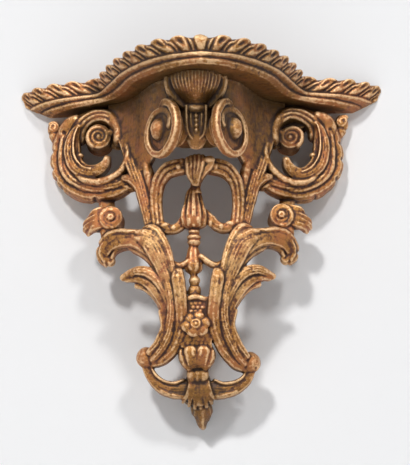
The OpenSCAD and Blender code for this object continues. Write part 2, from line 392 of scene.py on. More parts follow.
def disc(name, side, place, radius, thick):
    """A flat disc that faces the room; place is the middle of its front."""
    bpy.ops.object.select_all(action="DESELECT")
    middle = Vector(spot(side, *place)) + Vector((0, thick * MM / 2, 0))
    bpy.ops.mesh.primitive_cone_add(vertices=48, radius1=radius * MM * 1.02,
        radius2=radius * MM * 0.9, depth=thick * MM, location=middle,
        rotation=(math.radians(90), 0, 0))
    solid = bpy.context.object
    solid.name = name
    bpy.ops.object.transform_apply(location=True, rotation=True, scale=True)
    carved.append(solid)


print("helpers: block, bead and disc")

# %% Coils and turned forms
def coil(name, side, place, outer, inner, turns, rise, start, half_width, half_thick):
    """A snail coil that faces the room, wound inwards from start degrees and rising."""
    share = np.linspace(0, 1, int(26 * turns))
    angle = np.radians(start) + share * turns * math.tau
    radius = outer + (inner - outer) * share
    rows = [spot(side, place[0] + r * math.cos(a), place[1] + r * math.sin(a),
        place[2] + rise * s) for r, a, s in zip(radius, angle, share)]
    thin = 1 - 0.35 * share
    sweep(name, rows, half_width * MM * thin, half_thick * MM * thin, (0, -1, 0), PLAIN)


def turned(name, centre, outline, lobes=0, cut=0.0):
    """A turned and fluted form that hangs on the middle line: [height, radius] rows."""
    rows, n = smooth_run(outline, 4), 48
    angle = np.linspace(0, math.tau, n, endpoint=False)
    wave = 1 - cut * (0.5 + 0.5 * np.cos(lobes * angle)) ** 2 if lobes else np.ones(n)
    points, start = [], spot(1, centre[0], 0, centre[1])
    for height, radius in rows:
        level = spot(1, 0, height, 0)[2]
        for a, w in zip(angle, wave):
            r = max(radius, 0.3) * w * MM
            points.append((start[0] + r * math.sin(a), start[1] - r * math.cos(a), level))
    last = len(rows) - 1
    faces = [(i * n + k, (i + 1) * n + k, (i + 1) * n + (k + 1) % n, i * n + (k + 1) % n)
        for i in range(last) for k in range(n)]
    faces += [tuple(range(n)), tuple(last * n + k for k in range(n))[::-1]]
    new_solid(name, points, faces)


print("helpers: coil and turned")

# %% [markdown]
# ## Console and front volutes
#
# Right under the shelf two big volutes stand forward, turned half away from each other like
# the horns of a ram. Between and behind them is a plain block, and cheeks sweep back from
# it to the side scrolls. The block is hollow behind, where it can't be seen. A volute could
# be a spiral curve with a bevel, but its strap has to swell, sink and tilt on its way in, so
# it is wound from rows of angle, radius and lift.

# %% Console block and cheeks
def console():
    block("console_block", 1, [[s * u, z, d] for s in (-1, 1) for u, z, d in (
        (44, -17, 40), (44, -17, 118), (20, -17, 146), (36, -80, 84), (18, -82, 120),
        (14, -87, 98))])


def cheek(side):
    sheet("cheek", side, [
        [[106, -12, 44], [92, -12, 52], [78, -12, 66], [66, -12, 90], [48, -12, 128], [20, -12, 150]],
        [[102, -32, 50], [89, -32, 57], [77, -32, 68], [66, -32, 86], [50, -32, 118], [22, -32, 148]],
        [[94, -58, 57], [85, -60, 62], [76, -60, 70], [68, -60, 80], [58, -60, 98], [26, -60, 134]],
        [[87, -80, 62], [80, -83, 65], [74, -84, 71], [68, -84, 77], [61, -84, 87], [42, -84, 106]],
        [[80, -104, 62], [76, -106, 67], [71, -107, 72], [66, -107, 77], [61, -106, 80], [56, -104, 78]],
        ], 24)
    strap("cheek_edge", side, [[58, -50, 92, 2, 7], [58.5, -68, 84, 3, 8], [57.5, -88, 77, 3.4, 8],
        [56.5, -108, 70, 3.4, 9]])


console()
print("console solids:", len(carved))

# %% Front volutes
volute_turn = math.radians(50)


def front_volute(side):
    centre = spot(side, 38, -76, 141)
    axis = np.array([side * math.sin(volute_turn), -math.cos(volute_turn), 0])
    level = np.array([side * math.cos(volute_turn), math.sin(volute_turn), 0])
    upright = np.array([0, 0, 1.0])

    def wind(name, stations, shape):
        """A strap wound in the volute's plane: [degrees, radius, lift, half width, depth]."""
        rows = smooth_run(stations, 7)
        angle = np.radians(rows[:, 0])
        places = [centre + MM * (0.9 * r * math.cos(a) * level + r * math.sin(a) * upright
            + h * axis) for a, r, h in zip(angle, rows[:, 1], rows[:, 2])]
        sweep(name, places, rows[:, 3] * MM, rows[:, 4] * MM, axis, shape)

    def drum(name, radius, front, back):
        bpy.ops.object.select_all(action="DESELECT")
        bpy.ops.mesh.primitive_cone_add(vertices=48, radius1=radius * MM * 0.88,
            radius2=radius * MM, depth=(front - back) * MM)
        solid = bpy.context.object
        solid.name = name
        turn = Vector(axis).to_track_quat("Z", "Y").to_matrix().to_4x4()
        place = Matrix.Translation(Vector(centre + axis * MM * (front + back) / 2))
        solid.matrix_world = place @ turn
        bpy.ops.object.transform_apply(location=True, rotation=True, scale=True)
        carved.append(solid)

    wind("volute_strap", [[40, 27, -16, 4, 6], [70, 29.5, -9, 4.6, 5.5], [100, 30.5, -3, 4.4, 5],
        [140, 30, 0, 4.2, 5], [185, 29.5, 1, 4.2, 5], [230, 29.5, 1, 4, 5], [280, 30, 0, 3.8, 5],
        [330, 29.5, -1, 3.8, 5], [380, 28, -2, 3.6, 5], [425, 25, -4, 3.6, 5],
        [465, 20.5, -5, 3.2, 5], [505, 17, -4, 3, 5], [545, 13, -2, 2.6, 5]],
        section(2, 0.05, 0.12))
    drum("volute_bowl", 28.5, -1, -10)
    drum("volute_back", 18, -11, -25)
    bpy.ops.object.select_all(action="DESELECT")
    knob = centre + MM * (7 * level + 1 * upright - 1 * axis)
    bpy.ops.mesh.primitive_uv_sphere_add(segments=32, ring_count=20, radius=10 * MM,
        location=knob, scale=(1.0, 0.85, 1.3))
    carved.append(bpy.context.object)
    bpy.ops.object.transform_apply(location=True, rotation=True, scale=True)


for side in (-1, 1):
    cheek(side)
    front_volute(side)
print("solids so far:", len(carved))

# %% [markdown]
# ## Shell leaf
#
# A drooping leaf hangs from the shelf's front over the two volutes. Its reeds run down and
# close in to a small lip. Below it a narrow channel with a row of tiny beads goes down
# between the volutes. The pleats could be noise on one sheet, but thin straps laid on a
# plain sheet run true to the leaf and keep each groove crisp.

# %% Shell leaf and beaded channel
def shell_leaf():
    sheet("shell_skin", 1, [
        [[-31, -9, 140], [-26, -9, 156], [-13, -9, 168], [0, -9, 172], [13, -9, 168],
            [26, -9, 156], [31, -9, 140]],
        [[-32, -20, 140], [-27, -20, 155], [-14, -20, 167], [0, -20, 171], [14, -20, 167],
            [27, -20, 155], [32, -20, 140]],
        [[-30, -32, 134], [-25, -32, 148], [-13, -33, 161], [0, -34, 165], [13, -33, 161],
            [25, -32, 148], [30, -32, 134]],
        [[-22, -42, 128], [-17, -43, 140], [-9, -44, 151], [0, -45, 154], [9, -44, 151],
            [17, -43, 140], [22, -42, 128]],
        [[-12, -50, 122], [-9, -51, 132], [-5, -52, 140], [0, -52, 142], [5, -52, 140],
            [9, -51, 132], [12, -50, 122]]], 22)
    for i in range(-7, 8):
        spread = i / 7
        front = 171 - 16 * spread ** 2
        strap("shell_pleat", 1, [[25 * spread, -10, front - 1.9, 1.7, 3.6],
            [26 * spread, -22, front - 2.1, 1.8, 3.6],
            [22 * spread, -33, front - 7.8, 1.6, 3.4],
            [15 * spread, -43 + 2 * abs(spread), front - 18.5 + 3 * abs(spread), 1.3, 3],
            [7 * spread, -50 + 3 * abs(spread), front - 31 + 5 * abs(spread), 0.8, 2.4]])
    for side in (-1, 1):
        strap("shell_side", side, [[27, -10, 147, 6.5, 5.5], [28.5, -21, 145.5, 7.5, 6],
            [26, -32, 142, 7.5, 6], [19, -42, 138, 6, 5.5], [11, -49, 134.5, 4, 5]], FLUTE_1)
    bead("shell_lip", 1, [0, -52, 141], 7.4, (1.5, 0.85, 0.72))


def beaded_channel():
    strap("channel", 1, [[0, -46, 132, 15, 8], [0, -70, 130, 15, 8], [0, -80, 126, 13, 8],
        [0, -88, 118, 8, 7]])
    for side in (-1, 1):
        strap("channel_rail", side, [[11, -50, 141, 2, 7], [11, -68, 138, 2, 7],
            [9, -79, 132, 2, 6], [3, -86, 125, 1.8, 5]])
        strap("channel_fillet", side, [[6, -52, 138, 1.1, 4], [6, -66, 136, 1.1, 4],
            [4.8, -77, 131, 1.1, 4]])
    for i in range(5):
        bead("channel_bead", 1, [0, -56 - 5.2 * i, 140.5 - 0.9 * i], 2.4)
    bead("channel_end", 1, [0, -82, 126], 5.4, (1.1, 0.8, 0.9))


shell_leaf()
beaded_channel()
print("solids so far:", len(carved))

# %% [markdown]
# ## Side scrolls
#
# Each side scroll is a big ring. Three ridges roll over its top into a round eye with a
# spiral on it. A fat hooked leaf lies inside the ring, and a thin band closes the inner
# side. The outer band is smooth, and knocks have taken small bites out of its edge. One
# ring with a grooved section would look stamped, so each band is a strap of its own that
# laps over the next, as a carver leaves them.

# %% Ring of the side scroll
def ring_front(across):
    """Distance from the wall of the upper ring's front."""
    return 62 - 0.478 * (across - 85)


def ridges_over_eye(side):
    """Three ridges that roll round over the eye, side by side on one band."""
    rows = []
    for share in np.linspace(0, 1, 24):
        angle = math.radians(4 + 196 * share)
        radius, half = 25.8 - 2.6 * share, 9.8 - 3.6 * share
        across, height = 116 + radius * math.cos(angle), -55 + radius * math.sin(angle)
        sink = 44 * max(0, share - 0.64)
        rows.append([*spot(side, across, height, ring_front(across) - 10 - sink), half * MM])
    rows = np.array(rows)
    sweep("eye_ridges", rows[:, :3], rows[:, 3], np.full(24, 11 * MM), (0, -1, 0),
        section(3, 0.26, 0.15))


def side_scroll(side):
    strap("ring_core", side, [[68, -104, 58, 5, 9], [80, -113, 52, 8, 10],
        [96, -119, 40, 9, 11], [114, -122, 31, 11, 12], [136, -116, 22, 13, 13],
        [152, -101, 13, 13, 12], [158, -78, 12, 13, 11], [155, -56, 13, 12, 12],
        [144, -38, 18, 11, 13], [122, -29, 30, 10, 13], [101, -34, 42, 9, 12],
        [92, -49, 48, 7, 11], [92, -64, 52, 6, 9]])
    strap("outer_band", side, [[147, -33, 24, 5, 12], [159, -48, 16, 9, 13],
        [165, -68, 12, 10, 12.5], [164.5, -88, 12, 10, 12.5], [157, -104, 16, 9.5, 13],
        [144, -116, 22, 8.5, 13], [127, -124, 30, 8, 12.5], [108, -127, 38, 7, 11.5],
        [92, -126, 46, 5.5, 10.5], [77, -122, 55, 2.5, 8]], section(1, 0.02, 0.2))
    strap("leaf_band", side, [[153, -84, 17, 3.5, 11], [149, -97, 21, 6, 12],
        [137, -109, 28, 6.5, 12], [121, -116.5, 36, 6, 12.5], [105, -118, 44, 5.5, 12],
        [90, -116, 51, 5.5, 10.5], [78, -111, 57, 5.5, 9.5], [70, -101, 65, 4, 8]], REED_3)
    strap("inner_band", side, [[139, -104, 34, 2.8, 9], [130, -110.5, 41, 4.2, 10],
        [114, -113.5, 47, 4.8, 10.5], [98, -109.5, 53, 4.9, 10.5], [86, -100, 57, 4.8, 10.5],
        [80, -87, 59, 4.8, 10], [80.5, -75, 57, 4, 9], [86, -64, 50, 2, 7]])
    strap("leaf_tip", side, [[88, -118, 50, 5, 9], [80, -122, 55, 4, 8],
        [74, -125, 58, 1.6, 5]])
    strap("middle_band", side, [[149, -38, 24, 4, 11], [155, -52, 21, 7, 12],
        [157, -70, 20, 8, 12], [156, -88, 21, 8, 12], [149, -102, 25, 7.5, 12],
        [137, -112, 31, 6.5, 12], [122, -119, 37, 5.5, 12], [106, -121, 43, 5, 11]], REED_3)
    for stations in (
            [[163, -62, 21, 1.1, 5], [160, -84, 22, 1.3, 5], [151, -102, 27, 1.3, 5]],
            [[148, -111, 31, 1.2, 5], [134, -120, 37, 1.3, 5], [118, -124, 43, 1.1, 5]],
            [[124, -112, 46, 0.9, 4], [108, -116, 52, 1.1, 4], [92, -114, 58, 0.9, 4]],
            [[128, -118, 40, 1.2, 5], [116, -121, 46, 1.4, 5], [100, -122, 52, 1.1, 5]]):
        strap("band_streak", side, stations)
    ridges_over_eye(side)
    block("behind_eye", side, [[u, z, d] for d in (6, 36) for u, z in (
        (138, -38), (118, -26), (100, -30), (94, -46), (100, -60))])


print("ring's front from the wall, mm:", ring_front(85), "to", round(ring_front(165), 1))

# %% Eye, hooked leaf and shoulder
def scroll_eye(side):
    size = 16.2 if side < 0 else 14.6
    disc("eye_disc", side, [115.5, -56.5, 49], size, 32)
    coil("eye_coil", side, [115.5, -56.5, 43.4], size - 3, 1.6, 2.2, 1.5, -60, 3.4, 7)
    bead("eye_bead", side, [115.5, -56.5, 49.5], 2.4)
    strap("eye_neck", side, [[104, -52, 40, 5, 10], [97, -52, 42, 5, 10], [90, -54, 44, 4, 10]])


def hook_leaf(side):
    strap("hook", side, [[139, -39, 32, 3, 8], [144.5, -49, 30, 6.5, 10],
        [147.5, -62, 28, 9.5, 11.5], [147, -77, 28, 10, 12], [141, -90.5, 31, 10, 12.5],
        [128.5, -98.5, 37, 8.8, 12.5], [116, -98, 43, 7.8, 11.5], [107.5, -91.5, 48, 6.2, 10],
        [104.5, -84, 51, 4, 8]], REED_6)
    strap("hook_crest", side, [[141, -42, 37, 1.2, 5], [145, -54, 36, 1.5, 6.5],
        [146, -68, 36, 1.7, 7], [143, -82, 38, 1.6, 7], [134, -93, 42, 1.4, 6.5],
        [122, -98, 48, 1.2, 6]])
    bead("hook_tooth", side, [137.5, -77, 36], 3.6, (1.2, 1.3, 0.9))


def scroll_shoulder(side):
    strap("shoulder_flap", side, [[141, -29, 30, 5, 9], [151, -36, 25, 9, 11],
        [157, -47, 20, 9, 12], [159, -60, 16, 5, 10]])
    bead("shoulder_knob", side, [171.5, -36, 10], 8.8, (0.95, 0.95, 1.2))
    coil("knob_coil", side, [172, -35, 13], 6.2, 2, 1.6, 3, 40, 2.2, 4.5)
    strap("knob_neck", side, [[172, -44, 8, 6, 9], [166, -50, 10, 7, 10],
        [158, -52, 11, 8, 10]])


for side in (-1, 1):
    side_scroll(side)
    scroll_eye(side)
    hook_leaf(side)
    scroll_shoulder(side)
print("solids so far:", len(carved))

# %% [markdown]
# ## Legs, arch and cusps
#
# Two fluted legs go down from the console, lean towards each other and carry an arch between
# them. Small cusped straps tie the hanging centre to the legs. The flutes could be cut into
# a plain leg afterwards. In the strap's own section they follow its bend for nothing, and
# close up where it narrows.

# %% Legs and arch
def leg(side):
    strap("leg", side, [[74, -76, 50, 12, 12], [71, -92, 57, 13, 14], [67, -106, 61, 12.4, 15],
        [62, -122, 65, 11.4, 15], [57, -143, 68, 10.4, 14], [52, -164, 71, 10, 13],
        [50, -178, 72, 8.5, 12]], REED_7)
    strap("leg_inner", side, [[62, -74, 70, 4, 12], [60.5, -88, 71, 5, 12],
        [57.5, -103, 71, 6, 13], [54.5, -118, 72, 6.4, 13], [52, -134, 73, 4, 12]])
    strap("leg_leaf", side, [[56, -160, 73, 2, 6], [61, -142, 71.5, 4.4, 8],
        [67, -126, 70, 5.8, 9], [75, -116, 65, 5.4, 9], [84, -112, 59, 3.2, 7]], REED_4)


def arch(side):
    strap("arch", side, [[8, -107, 92, 8, 9], [24, -108, 91, 9.5, 9.5],
        [36, -113, 87, 9, 10], [44.5, -126, 81, 7.5, 10.5], [47, -146, 76, 7, 11],
        [45, -172, 76, 7.5, 11]], REED_3)
    strap("arch_rim", side, [[16, -100.5, 94, 1.5, 6], [29, -102, 92, 1.8, 7],
        [42, -109, 87, 2, 7.5], [50, -122, 82, 2, 8], [52.5, -138, 78, 2, 8]])
    bead("arch_curl", side, [21, -109, 100], 3.2, (1, 0.9, 1.2))
    bead("arch_curl_root", side, [17, -104, 96], 5.5, (1, 1, 1.1))


def cusps(side):
    strap("cusp", side, [[48, -171, 76, 6, 8], [40, -176, 76.5, 6, 8],
        [29, -178, 77, 5.6, 8], [20, -174.5, 79, 5.6, 8], [13, -166, 81, 6, 8],
        [6, -160, 80, 6, 8]], REED_3)
    bead("cusp_lobe", side, [39, -173.5, 82], 5, (1.6, 0.8, 0.8))
    bead("cusp_lobe_inner", side, [26, -177, 83], 4.4, (1.2, 0.8, 0.9))
    bead("cusp_root", side, [15, -171, 85], 4.6, (0.8, 0.9, 1.3))
    strap("lower_cusp", side, [[34, -213, 80, 4, 7], [27, -219, 81, 3.6, 7],
        [20, -221.5, 82, 3.8, 7], [12, -218, 84, 3.8, 7], [3, -211, 84, 3.4, 6]])
    bead("lower_cusp_lobe", side, [22, -220, 84], 3.4, (1.4, 0.8, 0.8))


for side in (-1, 1):
    leg(side)
    arch(side)
    cusps(side)
print("solids so far:", len(carved))

# %% [markdown]
# ## Arms
#
# From each trunk an arm bends out and down to a small eye. Its outer edge has a raised
# margin and its middle lies lower. A sheath of pointed leaf fingers wraps the arm where it
# leaves the trunk, with deep slits cut between the fingers. Slits cut out of one leaf would
# all be alike, so narrow straps are laid over a wider one, and each finger keeps its tip.

# %% Arm and its leaf sheath
def arm(side):
    strap("arm_core", side, [[34, -228, 78, 9, 10], [46, -207, 77, 12, 11],
        [58, -195, 75, 12.5, 11], [72, -188, 71, 11, 10.5], [88, -186.5, 63.5, 10.4, 10],
        [101, -190.5, 56, 8.8, 9], [108, -199.5, 50.5, 6.5, 8.5], [106, -208, 49, 4.5, 8]],
        section(2, 0.05, 0.12))
    strap("arm_margin", side, [[62, -180, 77, 2, 8], [76, -179.5, 71.5, 3.8, 10],
        [90, -177.8, 63.5, 4.4, 10], [102, -180, 56.5, 4.6, 10], [110, -187.5, 49.5, 4.6, 9.5],
        [113.5, -197, 46, 4.4, 9], [112, -206, 46, 3.8, 8], [106, -211.5, 46.5, 3, 7.5]])
    strap("arm_fillet", side, [[71, -185.5, 73.5, 1.2, 7], [86, -182.5, 67, 1.4, 8],
        [100, -184.5, 59, 1.4, 8], [107, -191.5, 52.5, 1.4, 8], [109.5, -200, 49, 1.2, 7.5]])
    strap("arm_lower_margin", side, [[70, -196, 67, 2.8, 9], [84, -194.5, 59.5, 2.8, 9.5],
        [94, -198, 53.5, 2.6, 9], [98.5, -204, 50.5, 2.2, 8]])
    bead("arm_eye", side, [101.5, -208.5, 49.5], 6.4, (1, 1.1, 1))
    coil("arm_eye_coil", side, [101.5, -208.5, 52.5], 4.4, 1.4, 1.1, 2, 60, 2, 4)
    bead("arm_button", side, [73, -187, 79], 3.2, (0.9, 0.9, 1.3))


def arm_sheath(side):
    strap("sheath_body", side, [[31, -240, 79, 9, 10], [41, -214, 82, 12, 10],
        [50, -196, 82, 13, 10], [61, -189, 79, 8.5, 9], [68, -188, 75, 5, 7]], REED_7)
    fingers = [
        [[26, -238, 83, 5, 7], [35, -211, 84, 6.4, 7.5], [47, -192, 84, 6.4, 7.5],
            [59, -184, 82, 5.4, 7], [69, -181.5, 79, 2.4, 5]],
        [[33, -238, 81, 5, 7], [42, -214, 83, 5, 7.5], [52, -200, 83, 5.2, 7.5],
            [62, -191.5, 81.5, 4.4, 7], [71, -188, 78, 2.2, 5]],
        [[36, -236, 78, 4, 7], [44, -217, 80, 4.4, 7.5], [53, -206, 80, 4.4, 7.5],
            [62, -198.5, 78, 3.6, 6.5], [70, -194.5, 75, 2, 5]]]
    for finger in fingers:
        strap("sheath_finger", side, finger, REED_4)
    strap("sheath_hem", side, [[37, -246, 76, 4, 9], [43.5, -229, 77, 4.6, 9],
        [53, -214, 75, 4.6, 9], [63, -204.5, 72, 4.4, 9], [76, -197.5, 65, 3.2, 9]], REED_3)
    strap("sheath_shoulder", side, [[27, -234, 83, 3.4, 8], [33, -208, 84, 4.6, 8.5],
        [41, -189, 83, 5.2, 8.5], [50, -178, 81, 5, 8], [60, -177.5, 77, 3, 6]], REED_3)


for side in (-1, 1):
    arm(side)
    arm_sheath(side)
print("solids so far:", len(carved))

# %% [markdown]
# ## Rolled leaf ends
#
# On top of each arm a leaf is rolled up tight. The end of the roll faces the room as a disc,
# and its flank beside it shows four wavy ribs. A sheet that is truly rolled up would have
# gaps too fine to last, so a low coil is laid on a disc, as the carver cuts it.

# %% Rolled leaf
def rolled_leaf(side):
    disc("roll_disc", side, [100.5, -158, 60], 15, 32)
    coil("roll_coil", side, [100.5, -158, 56.4], 11.6, 3, 1.9, 1.5, -100, 3.6, 4.6)
    for i in range(6):
        angle = math.tau * i / 6
        bead("roll_petal", side, [100.5 + 2.5 * math.cos(angle), -158 + 2.5 * math.sin(angle),
            62], 1.9, (1, 0.7, 1))
    bead("flank_body", side, [116, -160, 42], 12.5, (1.2, 0.9, 0.95))
    for start, middle, tip, reach in ((-146, -150, -155, 125), (-152, -157, -162, 130),
            (-158, -163, -167.5, 130), (-164, -169, -172, 126)):
        strap("flank_rib", side, [[106, start, 49, 2.6, 6], [112, middle + 2, 52.5, 3.6, 7],
            [119, middle, 51.5, 3.9, 7], [reach - 3, tip + 2, 45, 3.6, 7],
            [reach, tip, 37, 2.6, 6]], FLUTE_1)
    strap("roll_stem", side, [[104, -184, 50, 8, 9], [103, -174, 50, 10, 9],
        [106, -164, 46, 10, 9]])
    strap("roll_tie", side, [[104, -150, 38, 9, 8], [106, -138, 36, 9, 8],
        [108, -126, 34, 9, 9]])


for side in (-1, 1):
    rolled_leaf(side)
print("solids so far:", len(carved))

# %% [markdown]
# ## Lower leaves and trunks
#
# The trunks are bundles of reeds that swing out to a ball at the foot. A lower leaf springs
# from each one, its fingers lying over each other, and a small sprout stands on the outside.
# As on the arms, wide straps give the body and narrow ones lie on them as fingers and
# strands, because that is quick to change and never leaves a hole.

# %% Lower leaves
def lower_leaf(side):
    strap("leaf_body", side, [[30, -284, 72, 7, 10], [37, -262, 74, 9, 10],
        [48, -243, 74, 10, 9], [60, -234, 70, 8, 8], [72, -231, 65, 6, 7],
        [82, -231, 61, 3, 5]], REED_7)
    fingers = [
        [[28, -284, 76, 4, 9], [34, -260, 78, 5.4, 9], [43, -240, 79, 6.4, 8.5],
            [55, -228.5, 77, 6.4, 8], [68, -225, 72, 5.4, 7.5], [79, -227.5, 66, 4, 6],
            [87, -231, 62.5, 2.6, 5]],
        [[32, -286, 73, 4, 9], [38, -264, 75, 4.6, 9], [47, -247, 75, 5, 8.5],
            [58, -237, 72, 5, 8], [71, -233, 67, 4, 6.5], [82, -233.5, 63, 2.6, 5]],
        [[35, -288, 70, 4, 9], [40.5, -268, 71, 4.4, 9], [49, -253, 70, 4.8, 8.5],
            [60, -243.5, 67.5, 4.4, 7.5], [70, -241, 65, 2.8, 6]]]
    for finger in fingers:
        strap("leaf_finger", side, finger, REED_4)
    bead("leaf_curl", side, [85, -230.5, 63], 4.6, (1, 1, 0.95))
    bead("leaf_curl_low", side, [69, -241, 67], 3.6, (1, 1, 0.85))


print("lower leaf: a body and three fingers on each side")

# %% Trunk, sprout, ball and strut
def trunk(side):
    strap("trunk_core", side, [[47, -178, 70, 8, 11], [41, -205, 74, 11, 13],
        [36, -236, 74, 11, 14], [28, -262, 72, 12, 14], [26, -280, 68, 11.5, 14],
        [29, -298, 62, 11.5, 14], [38, -314, 54, 11, 13], [50, -323, 46, 8.5, 11]], REED_6)
    strap("inner_strand", side, [[22.5, -229, 85, 6, 8], [22.5, -237, 85, 7.4, 10],
        [21, -248, 84, 7.6, 11], [19.5, -264, 82, 7.2, 11], [19, -280, 77, 7, 12],
        [21.5, -297, 69, 6.8, 12], [29, -314, 60, 6.6, 12], [42, -325, 51, 6, 11],
        [54, -328, 45, 5, 10]],
        section(3, 0.06, 0.25))
    strap("middle_strand", side, [[36, -234, 80, 5, 9], [31.5, -252, 79, 6, 11],
        [29.5, -269, 77, 6, 12], [31, -286, 72, 6, 12], [35.5, -301, 66, 6, 12],
        [44, -315, 58, 5.6, 11], [52, -323, 52, 4.4, 9]], REED_4)
    strap("outer_strand", side, [[39, -266, 74, 4, 9], [37.5, -280, 71, 4.6, 10],
        [39.5, -294, 68, 5.2, 10.5], [45.5, -307, 62, 5.2, 10], [54, -316, 55, 4.4, 9]], REED_3)
    strap("sprout", side, [[41, -308, 68, 2.6, 7], [39, -295, 72, 3.6, 7],
        [40, -283, 75, 3.4, 6], [44, -272, 77.5, 1.6, 4]], FLUTE_1)
    bead("foot_ball", side, [59, -321.5, 47], 12.6)
    for lean in (0, 4.5):
        strap("ball_wrap", side, [[43 - lean * 0.3, -309 - lean, 59 - lean * 0.3, 1.6, 6],
            [49 - lean * 0.5, -317 - lean, 57 - lean * 0.4, 2, 7],
            [53 - lean * 0.5, -326 - lean * 0.4, 50, 2, 7]])


def strut(side):
    strap("strut", side, [[60, -325, 44, 6.5, 9], [56.5, -338, 43, 6.4, 9],
        [49, -348.5, 42, 7, 9.5], [39, -355.5, 41, 8.6, 10], [27, -358, 40, 9.6, 10],
        [12, -357, 40, 8, 10]], REED_6)
    strap("strut_leaf", side, [[50, -352, 42, 1.6, 7], [41, -360, 43, 3.4, 8],
        [30, -364.5, 43, 3.6, 8], [19, -366, 42, 3, 7]], REED_3)
    strap("strut_upper", side, [[55, -331, 46, 1.6, 7], [49, -342, 46, 2.2, 8],
        [39, -349, 45, 2.4, 8], [28, -351, 44, 2.4, 8], [17, -347, 45, 2, 7]])


for side in (-1, 1):
    lower_leaf(side)
    trunk(side)
    strut(side)
print("solids so far:", len(carved))

# %% [markdown]
# ## The hanging centre
#
# A ribbed palmette hangs under the arch. Below it come a bell-shaped flower, a bead, a ring,
# a bud, and two more beads down to a small plaque. The round parts are turned like a chair
# leg and then fluted. The spin operator would do for plain rounds. Here the rings of points
# are set out with a wave in their radius, which cuts the flutes in the same step.

# %% Palmette and turned drops
def palmette():
    for across, top, low, half in ((-11, -101, -6.5, 2.6), (-6.6, -99, -4.6, 2.7),
            (-2.2, -98, -2.6, 2.8), (2.4, -98, -0.6, 2.8), (7, -98.6, 1.4, 2.7)):
        strap("palmette_reed", 1, [[across, top, 98, half, 7],
            [across * 0.97, top - 9, 100, half, 7.5],
            [low + across * 0.3, -119, 98, half * 0.85, 7], [low * 0.6, -129, 94, 1.6, 5]])
    strap("palmette_fold", 1, [[15, -101, 99, 5, 7.5], [15.5, -108, 99, 4.4, 7.5],
        [8.5, -117, 97, 3, 7], [2, -127, 94, 1.8, 5]], FLUTE_1)
    bead("palmette_curl", 1, [14, -102.5, 103], 6, (1.2, 0.85, 0.8))
    strap("palmette_back", 1, [[1, -99, 91, 15, 7], [0.5, -112, 91, 12, 7],
        [-1, -127, 90, 5.5, 6]])


def hanging_centre():
    turned("neck", (-1.5, 87), [[-122, 5], [-127, 6.4], [-132, 5.6], [-138, 7.5]], 6, 0.06)
    turned("flower", (-4, 83), [[-130, 5], [-136, 8.8], [-146, 11], [-158, 13.6],
        [-166, 15.6], [-172, 15.6], [-177, 12], [-179, 6]], 9, 0.10)
    turned("flower_bead", (-4, 84), [[-177, 4], [-180, 6], [-183, 6.8], [-186, 4.6]])
    turned("centre_ring", (-4, 84), [[-185, 4.8], [-188, 8.2], [-190.5, 7.8], [-192, 6.6],
        [-194, 8.2], [-197, 6.8], [-199, 4.8]])
    turned("bud", (-5, 82), [[-196, 5], [-204, 7.2], [-214, 9.4], [-222, 11],
        [-227, 9.6], [-231, 5], [-234, 3.8]], 8, 0.10)
    turned("bud_bead", (-4, 82), [[-233, 3.6], [-236, 6], [-239, 6.8], [-243, 5.2], [-244, 4]])
    turned("last_drop", (-4, 80), [[-243, 4], [-246, 6.6], [-251, 7.4], [-256, 7], [-259, 5]])
    for lean in (-1, -0.5, 0, 0.5, 1):
        deep = 96 - 7 * lean ** 2
        strap("flower_petal", 1, [[-4 + lean * 5, -136, deep - 6, 1.6, 4],
            [-4 + lean * 9, -150, deep - 3, 2.4, 5], [-4 + lean * 12, -164, deep - 1, 2.8, 5],
            [-4 + lean * 12, -175 - 2 * (1 - abs(lean)), deep - 3, 1.6, 4]], FLUTE_1)


palmette()
hanging_centre()
print("solids so far:", len(carved))

# %% [markdown]
# ## Plaque, rosette and foot
#
# Between the trunks sits a small plaque with a six-petalled flower on a matted ground.
# Under it a frilled cup, a rounded collar, and a bearded leaf run down to the drop. The
# foot is solid back to the wall, and it steadies the bracket. Sheets are used where the
# front bulges both ways, and blocks fill the wood behind them.

# %% Plaque, rosette and frilled cup
def plaque():
    block("plaque", 1, [[s * u - 2, z, d] for s in (-1, 1) for u, z, d in (
        (14, -258, 58), (14, -258, 87), (16, -282, 58), (16, -282, 84),
        (18, -314, 50), (18, -314, 74))])
    strap("plaque_top", 1, [[-12, -260, 84, 3, 5], [-3, -258, 85, 3.4, 5], [7, -260, 84, 3, 5]])
    for i in range(3):
        for across in (-8, -3, 2):
            bead("plaque_mat", 1, [across + (i % 2) * 2.4, -265 - 4.6 * i, 84.6], 2.6,
                (1.1, 0.8, 0.9))
    for i in range(6):
        angle = math.tau * (i + 0.2) / 6
        bead("petal", 1, [-3 + 9.6 * math.cos(angle), -289 + 8 * math.sin(angle), 85],
            7, (1.1, 0.6, 1.0))
    strap("rosette_ring", 1, [[-3 + 4.6 * math.cos(a), -288.8 + 4.4 * math.sin(a), 87, 1.3, 3]
        for a in np.linspace(0, math.tau, 13)])
    bead("rosette_heart", 1, [-3, -288.8, 87.5], 3.2)
    for i in range(3):
        for across in (-12, -7, -2, 3, 8):
            bead("ground_mat", 1, [across + (i % 2) * 2, -300 - 4.4 * i, 76.5 - 1.2 * i], 3,
                (1.1, 0.7, 0.9))


